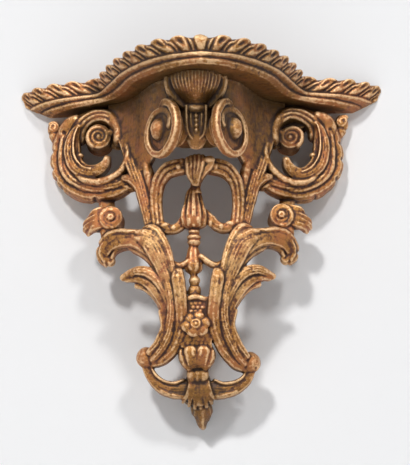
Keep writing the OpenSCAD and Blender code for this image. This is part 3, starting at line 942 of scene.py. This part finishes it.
def frilled_cup():
    sheet("cup", 1, [
        [[-22, -314, 66], [-14, -313, 73], [-7, -314, 77], [-2, -318, 75], [3, -314, 77],
            [10, -313, 73], [18, -314, 66]],
        [[-20, -322, 64], [-13, -322, 73], [-7, -322, 77], [-2, -324, 75], [3, -322, 77],
            [9, -322, 73], [16, -322, 64]],
        [[-17, -329, 58], [-11, -330, 65], [-6, -331, 68], [-2, -331, 68], [3, -331, 68],
            [8, -330, 65], [13, -329, 58]],
        [[-13, -335, 50], [-9, -336, 56], [-5, -336, 58], [-2, -337, 59], [2, -336, 58],
            [6, -336, 56], [10, -335, 50]]], 26)
    for side in (-1, 1):
        strap("cup_petal", 1, [[-2 + side * 5.4, -330, 60, 6.6, 8],
            [-2 + side * 6.6, -323, 68, 7.6, 8.5], [-2 + side * 7.4, -316, 71.5, 7.6, 7]],
            FLUTE_1)
        strap("cup_spike", 1, [[-2 + side * 10, -333, 56, 5, 8],
            [-2 + side * 15, -326, 63, 5, 8], [-2 + side * 18, -319, 66, 3.4, 7],
            [-2 + side * 17, -314, 68, 1.8, 5]])
    strap("cup_neck", 1, [[-11, -331, 54, 2.2, 6], [-2, -332.5, 58, 2.4, 7],
        [7, -331, 54, 2.2, 6]])


plaque()
frilled_cup()
print("solids so far:", len(carved))

# %% Collar, beard and drop
def bearded_foot():
    block("foot_core", 1, [[s * u - 1, z, d] for s in (-1, 1) for u, z, d in (
        (11, -313, 56), (11, -313, 40), (11, -346, 1), (11, -344, 46), (13, -368, 34),
        (13, -368, 1))])
    block("drop_core", 1, [[-9, -366, 1], [11, -366, 1], [-7, -368, 32], [10, -368, 32],
        [2, -388, 1], [2, -386, 22]])
    for across, half in ((-8, 5.6), (-1.6, 5.8), (4.8, 5.6)):
        strap("collar_lobe", 1, [[across, -337, 51, half, 6.5], [across, -341, 53.5, half + 0.8, 7],
            [across, -346, 51, half, 6.5]])
    sheet("beard", 1, [
        [[-14, -342, 40], [-8, -342, 50], [-1, -342, 54], [6, -342, 50], [12, -342, 40]],
        [[-17, -352, 40], [-9, -352, 50], [-1, -352, 54], [7, -352, 50], [15, -352, 40]],
        [[-20, -362, 38], [-10, -363, 48], [-1, -364, 52], [8, -363, 48], [18, -360, 38]],
        [[-17, -370, 34], [-9, -374, 42], [0, -377, 46], [9, -374, 42], [17, -367, 34]]], 26)
    for across, spread, low in ((-10, -18, -371), (-6.5, -11.5, -375), (-3, -5, -378),
            (0.5, 1.5, -378), (4, 8, -376), (7.5, 13.5, -372), (10, 18, -367)):
        strap("beard_lock", 1, [[across, -349, 49, 1.9, 6], [across * 1.15, -357, 48, 2.5, 6.5],
            [(across + spread) / 2, -365, 45.5, 2.7, 6.5], [spread, low, 38.5, 2, 5]], FLUTE_1)
    sheet("drop_leaf", 1, [
        [[-8, -370, 34], [-3, -371, 40], [3, -371, 43], [8, -371, 40], [13, -370, 34]],
        [[-10, -380, 30], [-4, -381, 37], [3, -382, 40], [9, -381, 37], [15, -380, 30]],
        [[-5, -388, 26], [-1, -390, 31], [4, -391, 34], [8, -390, 31], [13, -387, 26]],
        [[-2, -395, 22], [1, -395, 27], [4, -396, 29], [6, -395, 27], [8.5, -394, 22]],
        [[0.5, -399, 19], [2.5, -400.5, 23], [4, -401, 24], [5.5, -400.5, 23], [7.5, -399, 19]]], 16)
    for stations in (
            [[0, -372, 37, 1.6, 5], [-3, -379, 34, 2.2, 5], [-5, -385, 29, 1.4, 4]],
            [[6, -372, 37, 1.6, 5], [10, -378, 33, 2.2, 5], [12, -384, 28, 1.4, 4]]):
        strap("drop_vein", 1, stations, FLUTE_1)


bearded_foot()
print("solids in the body:", len(carved))

# %% [markdown]
# ## From parts to one carved block
#
# The real body is one piece of wood, so all these forms have to grow together. A boolean
# union of nearly three hundred overlapping solids is fragile. A voxel remesh does the same job
# safely, and it leaves the soft inner corners that gesso gives to carved wood.

# %% Join and remesh
def join(solids, name):
    """One mesh from many, its faces turned outwards."""
    bpy.ops.object.select_all(action="DESELECT")
    for solid in solids:
        solid.select_set(True)
    bpy.context.view_layer.objects.active = solids[0]
    bpy.ops.object.join()
    solid = bpy.context.object
    solid.name = solid.data.name = name
    bpy.ops.object.mode_set(mode="EDIT")
    bpy.ops.mesh.select_all(action="SELECT")
    bpy.ops.mesh.normals_make_consistent(inside=False)
    bpy.ops.object.mode_set(mode="OBJECT")
    return solid


def apply_modifier(solid, kind, **settings):
    """Add a modifier with its settings and apply it at once."""
    step = solid.modifiers.new(kind.lower(), kind)
    for key, value in settings.items():
        setattr(step, key, value)
    bpy.context.view_layer.objects.active = solid
    bpy.ops.object.modifier_apply(modifier=step.name)


def triangle_count(mesh):
    """Triangles once every face is cut up."""
    return sum(len(face.vertices) - 2 for face in mesh.polygons)


remesh_size = 0.9 * MM
body = join(carved, "carved_bracket")
apply_modifier(body, "REMESH", mode="VOXEL", voxel_size=remesh_size, adaptivity=0.0)
apply_modifier(body, "SMOOTH", factor=0.5, iterations=2)
print("triangles after the remesh:", triangle_count(body.data))

# %% [markdown]
# ## Hand work and wear
#
# No two gouge cuts are the same, and the real surface wavers. One slow noise displacement
# does that. A quicker one would break up the narrow grooves, so the small marks of the gesso
# are left to the finish. Then bites are pushed into the outer bands, and the top and the back
# are cut flat.

# %% Wavering surface
def waver(solid, name, size, strength):
    """Push the surface in and out by slow noise."""
    cloud = bpy.data.textures.new(name, "CLOUDS")
    cloud.noise_scale = size
    cloud.noise_depth = 2
    apply_modifier(solid, "DISPLACE", texture=cloud, texture_coords="LOCAL",
        strength=strength, mid_level=0.5)


waver(body, "carver_hand", 14 * MM, 1.6 * MM)
print("surface wavers by about half a millimetre")

# %% Bites and flat cuts
def points_of(mesh):
    flat = np.zeros(len(mesh.vertices) * 3, np.float32)
    mesh.vertices.foreach_get("co", flat)
    return flat.reshape(-1, 3).astype(float)


def normals_of(mesh):
    flat = np.zeros(len(mesh.vertices) * 3, np.float32)
    mesh.vertices.foreach_get("normal", flat)
    return flat.reshape(-1, 3).astype(float)


def set_points(mesh, points):
    mesh.vertices.foreach_set("co", points.astype(np.float32).ravel())
    mesh.update()


# Bites: side, sideways, height, radius in millimetres, and the way in (sideways, height, out)
bites = [(-1, 175, -66, 3.2, (-1, 0, 0)), (-1, 175, -88, 3.5, (-1, 0, 0)),
    (-1, 171, -103, 3.5, (-1, 0.4, 0)), (-1, 163, -114, 3, (-0.7, 0.7, 0)),
    (1, 175, -80, 3.2, (-1, 0, 0)), (1, 168, -106, 3.5, (-0.8, 0.5, 0)),
    (1, 140, -131, 3.5, (0, 1, 0)), (-1, 120, -133, 3, (0, 1, 0)),
    (-1, 158, -46.5, 2.2, (0, 0, -1)), (1, 158, -47, 2, (0, 0, -1)),
    (1, 172, -60, 2.6, (-1, 0, 0)), (-1, 116, -190, 2.4, (-1, 0, 0)),
    (1, 117, -200, 2.8, (-1, 0, 0)), (1, 62, -224, 2.5, (0, -1, 0))]


def bite(points, side, across, height, radius, way):
    """The points with one knock pressed in."""
    middle = spot(side, across, height, 20)
    away = (points[:, [0, 2]] - middle[[0, 2]]) / (radius * MM)
    share = np.exp(-(away ** 2).sum(1))
    push = np.array([side * way[0], -way[2], way[1]]) * radius * 0.9 * MM
    return points + share[:, None] * push


body_points = points_of(body.data)
for mark in bites:
    body_points = bite(body_points, *mark)
body_points[:, 1] = np.clip(body_points[:, 1], cad_low.y + 4 * MM, 0.0)
body_points[:, 2] = np.clip(body_points[:, 2], body_low.z, under)
set_points(body.data, body_points)
print("bites:", len(bites))

# %% [markdown]
# ## Thinning
#
# The remesh leaves close to a million small triangles, far more than the carving needs. A
# lower remesh would blur it all alike, so the mesh is collapsed where it is smooth, and most
# of all on the plain side by the wall. A collapse can pinch the skin, so the mesh is mended
# afterwards and its open edges are counted.

# %% Thin the mesh
def flatten_back(solid):
    """No point may stand behind the wall plane."""
    points = points_of(solid.data)
    points[:, 1] = np.minimum(points[:, 1], 0.0)
    set_points(solid.data, points)


def thin_to(solid, target):
    """Collapse the mesh to about target triangles, and the side by the wall most of all."""
    group = solid.vertex_groups.new(name="thin")
    to_wall = normals_of(solid.data)[:, 1] > 0.25
    group.add(np.flatnonzero(to_wall).tolist(), 1.0, "REPLACE")
    group.add(np.flatnonzero(~to_wall).tolist(), 0.12, "REPLACE")
    apply_modifier(solid, "DECIMATE", ratio=min(1.0, target / triangle_count(solid.data)),
        vertex_group=group.name, vertex_group_factor=1.0)
    solid.vertex_groups.clear()


def open_edges(mesh):
    """How many edges have one face only, and how many have more than two."""
    uses = np.zeros(len(mesh.loops), np.int32)
    mesh.loops.foreach_get("edge_index", uses)
    faces = np.bincount(uses, minlength=len(mesh.edges))
    return int((faces < 2).sum()), int((faces > 2).sum())


def mend(solid):
    """Cut out the few spots where the thinned skin meets itself, and close them again."""
    bpy.ops.object.select_all(action="DESELECT")
    solid.select_set(True)
    bpy.context.view_layer.objects.active = solid
    for turn in range(6):
        solid.data.validate()
        if turn and open_edges(solid.data) == (0, 0):
            break
        bpy.ops.object.mode_set(mode="EDIT")
        bpy.ops.mesh.select_mode(type="VERT")
        bpy.ops.mesh.select_all(action="SELECT")
        bpy.ops.mesh.dissolve_degenerate(threshold=0.001 * MM)
        bpy.ops.mesh.select_all(action="DESELECT")
        bpy.ops.mesh.select_non_manifold(extend=False)
        bpy.ops.mesh.delete(type="VERT")
        bpy.ops.mesh.select_all(action="SELECT")
        bpy.ops.mesh.fill_holes(sides=0)
        bpy.ops.mesh.select_all(action="SELECT")
        bpy.ops.mesh.quads_convert_to_tris()
        bpy.ops.mesh.delete_loose()
        bpy.ops.mesh.select_all(action="SELECT")
        bpy.ops.mesh.normals_make_consistent(inside=False)
        bpy.ops.object.mode_set(mode="OBJECT")
    broken = solid.data.validate()
    print(solid.name, "broken:", broken, "edges with one face, with more than two:",
        open_edges(solid.data), "turns:", turn)


body_triangles, shelf_triangles = 190000, 150000
print("edges with one face, with more than two, before thinning:", open_edges(body.data))
thin_to(body, body_triangles)
flatten_back(body)
mend(body)
print("triangles in the carved body:", triangle_count(body.data))

# %% [markdown]
# ## The shelf
#
# The shelf's outline is the same on both halves: a bowed middle, a hollow flank and a
# pointed wing. Leaf lobes lean outwards all along its upper edge, each one hollowed, with a
# sharp rib between neighbours, and two mouldings follow below. Its shape is a plain grid:
# columns run along the outline and rows go up the section, so that every lobe can be cut
# by a formula and its rake kept even round the bends. Single leaves set along the edge would
# leave seams.

# %% Outline of the shelf
edge_line = [[220, 0], [213, 12], [196, 28], [172, 39], [148, 43], [129, 47], [121, 64],
    [111, 93], [97, 125], [79, 153], [57, 177], [34, 190], [0, 198]]
foot_line = [[184, 0], [178, 14], [166, 25], [150, 37], [134, 45], [117, 56], [102, 70],
    [89, 95], [78, 125], [64, 147], [46, 166], [25, 183], [0, 192]]
columns = 300
lobe_count = 12


def even_line(line):
    """The line as evenly spaced columns from the wing's tip to the middle."""
    fine = smooth_run(line, 12)
    length = np.concatenate([[0], np.cumsum(np.linalg.norm(np.diff(fine, axis=0), axis=1))])
    even = np.linspace(0, length[-1], columns)
    return np.stack([np.interp(even, length, fine[:, k]) for k in (0, 1)], axis=1)


edge, foot = even_line(edge_line), even_line(foot_line)


def outward(line):
    """The way out of the board at each column."""
    run = unit(np.gradient(line, axis=0))
    way = np.stack([-run[:, 1], run[:, 0]], axis=1) * -1
    way[-1] = (0, 1)
    way[0] = (1, 0)
    return way


out_way = outward(edge)
print("columns in half an outline:", columns)

# %% Section rows of the shelf
share = np.linspace(0, 1, columns)
lobe_place = (lobe_count + 0.38) * share ** 0.94
rake = 0.66 * np.clip((1 - share) * 9, 0, 1)
pod_share = 0.76


def lobe_relief(rise):
    """Relief of the leaf lobes in millimetres at a height share of the band."""
    place = lobe_place - rake * (1 - rise) ** 1.15
    part = place - np.floor(place)
    pod = np.clip(part / pod_share, 0, 1)
    flute = np.clip((part - pod_share) / (1 - pod_share), 0, 1)
    belly = 6.2 * np.sin(math.pi * pod) ** 0.55
    scoop = 4.0 * np.exp(-((pod - 0.5) / 0.22) ** 2 - ((rise - 0.62) / 0.27) ** 2)
    rib = 4.2 * np.sin(math.pi * flute) ** 0.6
    return np.where(part < pod_share, belly - scoop, rib)


def section_rows():
    """Rows up the section: [height, share of the foot outline, inset or relief]."""
    rows = [(-17, 1.0, -0.6 + 0 * share), (-16.6, 0.98, 0.4 + 0 * share)]
    moulding = [(-14.8, 0.90, 1.4), (-13, 0.80, 1.7), (-11.4, 0.72, 0.9), (-10.6, 0.66, -1.2),
        (-10, 0.62, -1.8), (-9.3, 0.56, -0.6), (-8.2, 0.50, 0.9), (-6.6, 0.42, 1.5),
        (-5, 0.34, 0.9), (-4, 0.29, -1.0), (-3.2, 0.25, -3.0), (-2.4, 0.21, -3.2)]
    rows += [(height, part, bulge + 0 * share) for height, part, bulge in moulding]
    for rise in np.linspace(0, 1, 17):
        swell = -8.6 + 3.6 * math.sin(math.pi * min(1, rise * 0.62 + 0.08))
        rows.append((-1.4 + 17.0 * rise, 0.16 * (1 - rise), swell + lobe_relief(rise)))
    return rows


top_part = lobe_place - np.floor(lobe_place)
notch = 4.6 * (1 - np.sin(math.pi * np.clip(top_part / 0.9, 0, 1)) ** 0.6)
rows = section_rows()
print("rows up the section:", len(rows))

# %% Build the shelf
def shelf_half():
    """Grid of points [row, column] for the right half, in metres."""
    grid = []
    for height, part, relief in rows:
        line = (1 - part) * edge + part * foot + out_way * (relief * np.clip(share * 40, 0.1, 1)
            )[:, None]
        level = np.full(columns, float(height))
        level -= notch * np.clip((height - 4) / 11, 0, 1)
        grid.append(np.column_stack([line, level]))
    for inset, drop in ((6.5, 0.9), (8.5, 0.35), (11, 0.1), (15, 0.0)):
        line = edge - out_way * inset * np.clip(share * 12, 0.15, 1)[:, None]
        level = 15.9 - notch * drop
        grid.append(np.column_stack([line, level]))
    grid = np.array(grid)
    back_low, back_high = grid[0].copy(), grid[-1].copy()
    back_low[:, 1] = back_high[:, 1] = 0
    mid_low, mid_high = (grid[0] + back_low) / 2, (grid[-1] + back_high) / 2
    grid = np.concatenate([[back_low, mid_low], grid, [mid_high, back_high]])
    grid[:, 0, 1] = 0
    grid[:, :, 1] = np.maximum(grid[:, :, 1], 0)
    return grid


def shelf_mesh():
    """Points and faces of the whole shelf, the half grid mirrored."""
    half = shelf_half()
    other = half[:, ::-1][:, 1:].copy()
    other[:, :, 0] *= -1
    grid = np.concatenate([half, other], axis=1)
    count, width = grid.shape[:2]
    points = np.column_stack([grid[..., 0].ravel() * MM * across_scale,
        -grid[..., 1].ravel() * MM * depth_scale, grid[..., 2].ravel() * MM])
    faces = [(i * width + k, i * width + k + 1, (i + 1) * width + k + 1, (i + 1) * width + k)
        for i in range(count - 1) for k in range(width - 1)]
    faces += [((count - 1) * width + k, (count - 1) * width + k + 1, k + 1, k)
        for k in range(width - 1)]
    faces += [tuple(i * width for i in range(count)),
        tuple(i * width + width - 1 for i in reversed(range(count)))]
    return points, faces


shelf = new_solid("carved_shelf", *shelf_mesh())
apply_modifier(shelf, "REMESH", mode="VOXEL", voxel_size=remesh_size, adaptivity=0.0)
apply_modifier(shelf, "SMOOTH", factor=0.5, iterations=2)
waver(shelf, "shelf_hand", 16 * MM, 1.3 * MM)
print("triangles in the shelf:", triangle_count(shelf.data))

# %% [markdown]
# ## Hanging holes
#
# Two blind holes in the shelf's back edge slip over pins in the wall. Their size and spacing
# come from the measured frame. A boolean cut is safe here, since each bit is a plain
# cylinder through a flat face. The left wing has sagged a little, and the top is flat.

# %% Trim the shelf and bore the hanging holes
def wing_sag(points):
    """How far the left wing has sagged at each point; nothing at the hanging hole."""
    return 4.5 * MM * np.clip((-points[:, 0] / MM - 130) / 90, 0, 1) ** 1.3


shelf_points = points_of(shelf.data)
flat_top = shelf_high.z - 0.1 * MM
shelf_points[:, 0] = np.clip(shelf_points[:, 0], shelf_low.x, shelf_high.x)
shelf_points[:, 1] = np.clip(shelf_points[:, 1], shelf_low.y, 0)
shelf_points[:, 2] = np.clip(shelf_points[:, 2], under, flat_top)
shelf_points[:, 2] -= wing_sag(shelf_points)
set_points(shelf.data, shelf_points)
thin_to(shelf, shelf_triangles)

mounts = {m["name"]: m for m in frame["record"]["mounts"]}
holes = mounts["hanging_holes"]
hole_place = Vector(holes["pos_m"])
hole_radius = holes["dims"]["hole_r_mm"] * MM
hole_gap = holes["dims"]["spacing_x_mm"] * MM
hole_depth = 24 * MM  # blind, as in the measured shelf
print("hanging holes, mm: radius", hole_radius / MM, "apart", hole_gap / MM)
for side in (-1, 1):
    bpy.ops.object.select_all(action="DESELECT")
    bpy.ops.mesh.primitive_cylinder_add(vertices=32, radius=hole_radius, depth=2 * hole_depth,
        location=hole_place + Vector((side * hole_gap / 2, 0, 0)),
        rotation=(math.radians(90), 0, 0))
    bit = bpy.context.object
    apply_modifier(shelf, "BOOLEAN", object=bit, operation="DIFFERENCE", solver="EXACT")
    bpy.data.objects.remove(bit)
flatten_back(shelf)
mend(shelf)
print("triangles in the bored shelf:", triangle_count(shelf.data))

# %% [markdown]
# ## Where the gold has worn
#
# Ridges are rubbed pale, and dirt lies in the hollows. The finish also paints a highlight on
# the ridges, and shade in the hollows and where other wood hems a place in. So each point is
# told how far it stands proud of its neighbourhood, at a fine and a broad scale, and how much
# other wood hems it in, which gives the painted ambient shade. These are stored on the mesh
# as attributes, which the material reads. Painted masks would do too, but they would have to
# be painted again after each change of shape. These belong to the wood, not to the camera,
# so they hold in any view.

# %% Relief and painted shade
def edges_of(mesh):
    flat = np.zeros(len(mesh.edges) * 2, np.int32)
    mesh.edges.foreach_get("vertices", flat)
    return flat.reshape(-1, 2)


def relaxed(points, edges, rounds):
    """The points after a few rounds of moving to their neighbours' middle."""
    count = len(points)
    degree = np.maximum(np.bincount(edges.ravel(), minlength=count), 1)[:, None]
    for _ in range(rounds):
        total = np.stack([np.bincount(edges[:, 0], points[edges[:, 1], k], count)
            + np.bincount(edges[:, 1], points[edges[:, 0], k], count) for k in range(3)], 1)
        points = 0.4 * points + 0.6 * total / degree
    return points


# The share of wood round a place is used as painted ambient shade: the more wood, the darker and more
# olive the colour.
def ambient_shade(solids_points, solids_normals, points, normals, cell=3 * MM):
    """Share of wood round a place just off the surface, from a coarse filled grid."""
    low = cad_low.to_tuple() - np.full(3, 30 * MM)
    size = ((cad_high.to_tuple() + np.full(3, 30 * MM) - low) / cell).astype(int) + 2
    filled = np.zeros(size, np.float32)
    for deep in (1, 3.5, 6):
        cells = ((solids_points - solids_normals * deep * MM - low) / cell).astype(int)
        filled[tuple(cells.T)] = 1
    for axis in range(3):
        for _ in range(2):
            run = np.cumsum(np.pad(filled, [(4, 3) if a == axis else (0, 0)
                for a in range(3)]), axis=axis)
            after = np.take(run, np.arange(7, size[axis] + 7), axis)
            before = np.take(run, np.arange(0, size[axis]), axis)
            filled = (after - before) / 7
    cells = ((points + normals * 7 * MM - low) / cell).astype(int)
    return filled[tuple(np.clip(cells, 0, size - 1).T)]


wood_points = np.vstack([points_of(body.data), points_of(shelf.data)])
wood_normals = np.vstack([normals_of(body.data), normals_of(shelf.data)])
print("points of wood:", len(wood_points))

# %% Painted shade and dust, pale and plain places
def shade_and_dust_zone(points):
    """Share of painted shade, with smoke and dust: high under the shelf, and on the drop."""
    across, level = points[:, 0] / MM, points[:, 2] / MM
    high = np.clip((level + 150) / 90, 0, 1) * np.exp(-(across / 150) ** 4)
    low = np.clip((-300 - level) / 70, 0, 1)
    return np.clip(0.64 * high + 0.78 * low, 0, 1)


# Places where the colour is a paler, yellower gold: [sideways, height, reach] in millimetres
pale_gold = [[54, -196, 20], [42, -222, 18], [2, -106, 16], [48, -250, 14], [22, -255, 14]]


def pale_places(points):
    """Share of the paler gold on the leaf sheaths, the palmette and the lower leaves."""
    across = np.abs(points[:, 0] - middle_x) / (MM * across_scale)
    level = (points[:, 2] - under) / (MM * drop_scale) + drawn_underside
    share = [np.exp(-((across - u) ** 2 + (level - z) ** 2) / reach ** 2)
        for u, z, reach in pale_gold]
    return np.clip(np.max(share, axis=0) * (points[:, 2] < under), 0, 1)


def plain_faces(points, normals):
    """The flat top of the shelf and all that faces the wall: never carved, hardly gilded."""
    level = points[:, 2] + wing_sag(points)
    top = (level > shelf_high.z - 1.5 * MM) & (normals[:, 2] > 0.85)
    return np.where(top, 1.0, np.clip((normals[:, 1] - 0.6) / 0.3, 0, 1))


print("pale gold is laid in", len(pale_gold), "places on each side")

# %% Store the measures on the mesh
def store(mesh, name, values):
    """Keep one value a point, for the material to read."""
    layer = mesh.attributes.new(name, "FLOAT", "POINT")
    layer.data.foreach_set("value", values.astype(np.float32))


for solid in (body, shelf):
    points, normals, edges = points_of(solid.data), normals_of(solid.data), edges_of(solid.data)
    fine = ((points - relaxed(points, edges, 4)) * normals).sum(1) / (0.35 * MM)
    broad = ((points - relaxed(points, edges, 40)) * normals).sum(1) / (1.6 * MM)
    occlusion_shade = ambient_shade(wood_points, wood_normals, points, normals)
    store(solid.data, "crest", np.clip(0.5 + 0.5 * fine, 0, 1))
    store(solid.data, "swell", np.clip(0.5 + 0.5 * broad, 0, 1))
    # Painted ambient shade: places hemmed in by other wood are coloured darker and more olive.
    store(solid.data, "ambient_shade", np.clip(occlusion_shade * 2.2, 0, 1))
    # Painted shade under the shelf and on the drop, with dust.
    store(solid.data, "zone", shade_and_dust_zone(points))
    store(solid.data, "pale", pale_places(points))
    store(solid.data, "plain", plain_faces(points, normals))
    print(solid.name, "crest spread", np.percentile(fine, [5, 50, 95]).round(2),
        "swell spread", np.percentile(broad, [5, 50, 95]).round(2),
        "ambient_shade", np.percentile(occlusion_shade, [5, 50, 95]).round(2))

# %% [markdown]
# ## Worn gilding
#
# The finish is built up as on the real piece: red-brown bole below, gold leaf over it,
# coppery patches where the clay shines through, a paler gold on some leaves, pale rubbed
# ridges with a painted highlight on them, and brown dirt with an olive cast in the hollows,
# which also paint the shade there, in hidden places and under the shelf. Part of the surface
# still acts as metal, the rest is clay and wax. The shelf's top and the faces by the wall are
# plain toned wood, as on most wall brackets. One even gold metal would look new, so the layers
# are nodes, each blended over the last by noise and by the stored measures.

# %% Helper for the finish
def tint(code):
    """A hex colour as linear light."""
    parts = [int(code[i:i + 2], 16) / 255 for i in (1, 3, 5)]
    return [p / 12.92 if p <= 0.04045 else ((p + 0.055) / 1.055) ** 2.4 for p in parts] + [1]


class Finish:
    """A small helper that adds nodes to one material."""

    def __init__(self, name):
        self.material = bpy.data.materials.new(name)
        self.material.use_nodes = True
        self.nodes = self.material.node_tree.nodes
        self.links = self.material.node_tree.links
        self.shader = self.nodes["Principled BSDF"]
        self.where = self.nodes.new("ShaderNodeTexCoord").outputs["Object"]

    def noise(self, size, detail, rough):
        """Cloudy noise whose patches are about size millimetres across."""
        cloud = self.nodes.new("ShaderNodeTexNoise")
        cloud.inputs["Scale"].default_value = 1000 / size
        cloud.inputs["Detail"].default_value = detail
        cloud.inputs["Roughness"].default_value = rough
        self.links.new(self.where, cloud.inputs["Vector"])
        return cloud.outputs["Fac"]

    def attribute(self, name):
        node = self.nodes.new("ShaderNodeAttribute")
        node.attribute_name = name
        return node.outputs["Fac"]

    def math(self, kind, a, b=0.0):
        node = self.nodes.new("ShaderNodeMath")
        node.operation = kind
        for socket, value in zip(node.inputs, (a, b)):
            if isinstance(value, (int, float)):
                socket.default_value = value
            else:
                self.links.new(value, socket)
        return node.outputs[0]

    def ramp(self, value, low, high, top=1.0):
        """value from low to high becomes 0 to top, smoothly."""
        node = self.nodes.new("ShaderNodeMapRange")
        node.interpolation_type = "SMOOTHSTEP"
        node.inputs["From Min"].default_value = low
        node.inputs["From Max"].default_value = high
        node.inputs["To Max"].default_value = top
        self.links.new(value, node.inputs["Value"])
        return node.outputs["Result"]

    def blend(self, share, below, above):
        node = self.nodes.new("ShaderNodeMix")
        node.data_type = "RGBA"
        for socket, value in ((node.inputs[0], share), (node.inputs[6], below),
                (node.inputs[7], above)):
            if isinstance(value, (list, float)):
                socket.default_value = value
            else:
                self.links.new(value, socket)
        return node.outputs[2]


print("helper: Finish, which adds nodes to one material")

# %% Layers of the gilding
# The pale ridge colour stands for rubbed wear and a painted highlight on the crests.
bright_gold, copper, pale_leaf, rubbed_ridge_and_highlight = "#bd8646", "#b06a43", "#d2a873", "#f5cc9b"
dark_wood, light_wood = "#553a22", "#6b4a2c"


def gilding(name, gold, bole, rubbed, dirt_and_crease_shade, olive_shade_and_dust):
    """Bole, leaf, rubbed patches, pale gold, rubbed ridges with a painted highlight, olive cast and
    grime with painted shade, and bare wood in turn.
    """
    finish = Finish(name)
    crest, swell = finish.attribute("crest"), finish.attribute("swell")
    occlusion_shade, zone = finish.attribute("ambient_shade"), finish.attribute("zone")
    patches = finish.noise(32, 4, 0.6)
    mottle = finish.noise(8, 5, 0.7)
    specks = finish.noise(2.6, 4, 0.75)
    grain = finish.noise(4, 4, 0.7)

    clay = finish.blend(finish.ramp(patches, 0.42, 0.60), tint(bole), tint(rubbed))
    kept = finish.math("ADD", finish.math("MULTIPLY", mottle, 0.6),
        finish.math("MULTIPLY", grain, 0.4))
    kept = finish.math("ADD", kept, finish.math("MULTIPLY", crest, 0.36))
    leaf = finish.ramp(kept, 0.58, 0.76)
    bright_leaf = finish.blend(finish.ramp(specks, 0.42, 0.62), tint(gold), tint(bright_gold))
    colour = finish.blend(leaf, clay, bright_leaf)
    pink = finish.math("ADD", patches, finish.math("MULTIPLY", crest, 0.25))
    colour = finish.blend(finish.ramp(pink, 0.62, 0.78, 0.6), colour, tint(copper))
    pale = finish.math("MULTIPLY", finish.attribute("pale"), finish.ramp(mottle, 0.36, 0.62))
    colour = finish.blend(finish.math("MULTIPLY", pale, 0.7), colour, tint(pale_leaf))
    # Pale crests: rubbed wear, with a painted highlight.
    high = finish.math("ADD", crest, finish.math("MULTIPLY", specks, 0.7))
    colour = finish.blend(finish.ramp(high, 1.06, 1.44, 0.92), colour, tint(rubbed_ridge_and_highlight))

    # Olive cast: painted shade in hidden places and under the shelf, with dust and a random mottle.
    shade_and_olive_cast = finish.math("ADD", finish.math("MULTIPLY", occlusion_shade, 0.7),
        finish.math("MULTIPLY", mottle, 0.35))
    shade_and_olive_cast = finish.math("ADD", shade_and_olive_cast, finish.math("MULTIPLY", zone, 0.62))
    colour = finish.blend(finish.ramp(shade_and_olive_cast, 0.58, 1.15, 0.8), colour, tint(olive_shade_and_dust))
    # Dark brown in creases and broad hollows: dirt, and painted shade there.
    low = finish.math("SUBTRACT", 1.0, crest)
    low = finish.math("ADD", low, finish.math("MULTIPLY", finish.math("SUBTRACT", 1.0, swell),
        0.5))
    low = finish.math("ADD", low, finish.math("MULTIPLY", specks, 0.45))
    grime_and_crease_shade = finish.ramp(low, 0.98, 1.55, 0.85)
    colour = finish.blend(grime_and_crease_shade, colour, tint(dirt_and_crease_shade))
    flecks = finish.ramp(specks, 0.58, 0.68, 0.55)
    colour = finish.blend(flecks, colour, tint(dirt_and_crease_shade))
    plain = finish.attribute("plain")
    bare = finish.blend(finish.ramp(patches, 0.32, 0.68), tint(dark_wood), tint(light_wood))
    colour = finish.blend(plain, colour, bare)
    finish.links.new(colour, finish.shader.inputs["Base Color"])

    metal = finish.math("MULTIPLY", leaf, finish.math("SUBTRACT", 0.65, finish.math(
        "MULTIPLY", grime_and_crease_shade, 0.65)))
    metal = finish.math("MULTIPLY", metal, finish.math("SUBTRACT", 1.0, plain))
    finish.links.new(metal, finish.shader.inputs["Metallic"])
    gloss = finish.math("ADD", 0.27, finish.math("MULTIPLY", specks, 0.25))
    gloss = finish.math("ADD", gloss, finish.math("MULTIPLY", grime_and_crease_shade, 0.25))
    finish.links.new(gloss, finish.shader.inputs["Roughness"])
    finish.shader.inputs["IOR"].default_value = 1.5
    finish.shader.inputs["Specular IOR Level"].default_value = 0.35

    height = finish.math("ADD", finish.math("MULTIPLY", specks, 0.6),
        finish.math("MULTIPLY", finish.noise(1.2, 3, 0.6), 0.5))
    height = finish.math("ADD", height, mottle)
    bump = finish.nodes.new("ShaderNodeBump")
    bump.inputs["Strength"].default_value = 0.8
    bump.inputs["Distance"].default_value = 0.9 * MM
    finish.links.new(height, bump.inputs["Height"])
    finish.links.new(bump.outputs[0], finish.shader.inputs["Normal"])
    return finish.material


print("bare wood from", dark_wood, "to", light_wood)

# %% Gild both pieces
# The last two colours are dirt that also paints crease shade, and an olive cast that also paints shade
# in hidden places.
body_finish = gilding("worn_gilding_body", "#9c6a38", "#5c331e", "#8c5032", "#28150b", "#4c3a1b")
shelf_finish = gilding("worn_gilding_shelf", "#966636", "#5a331f", "#885031", "#28150b", "#4c3a1b")
for solid, finish in ((body, body_finish), (shelf, shelf_finish)):
    solid.data.materials.clear()
    solid.data.materials.append(finish)
    for face in solid.data.polygons:
        face.material_index = 0
        face.use_smooth = True
print("finishes:", body_finish.name, shelf_finish.name)

# %% [markdown]
# ## Hand over
#
# Each carved mesh now stands for its measured solid and rides on the part's one body. The
# last line prints the measured box.

# %% Tie the pieces to the frame
for solid, node, slot in ((body, "bracket", "bracket_gilding"), (shelf, "shelf",
        "shelf_gilding")):
    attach(solid, "root")
    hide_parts(node)

print("measured box, mm:", [round(v * 1000, 1) for v in (*cad_low, *cad_high)])
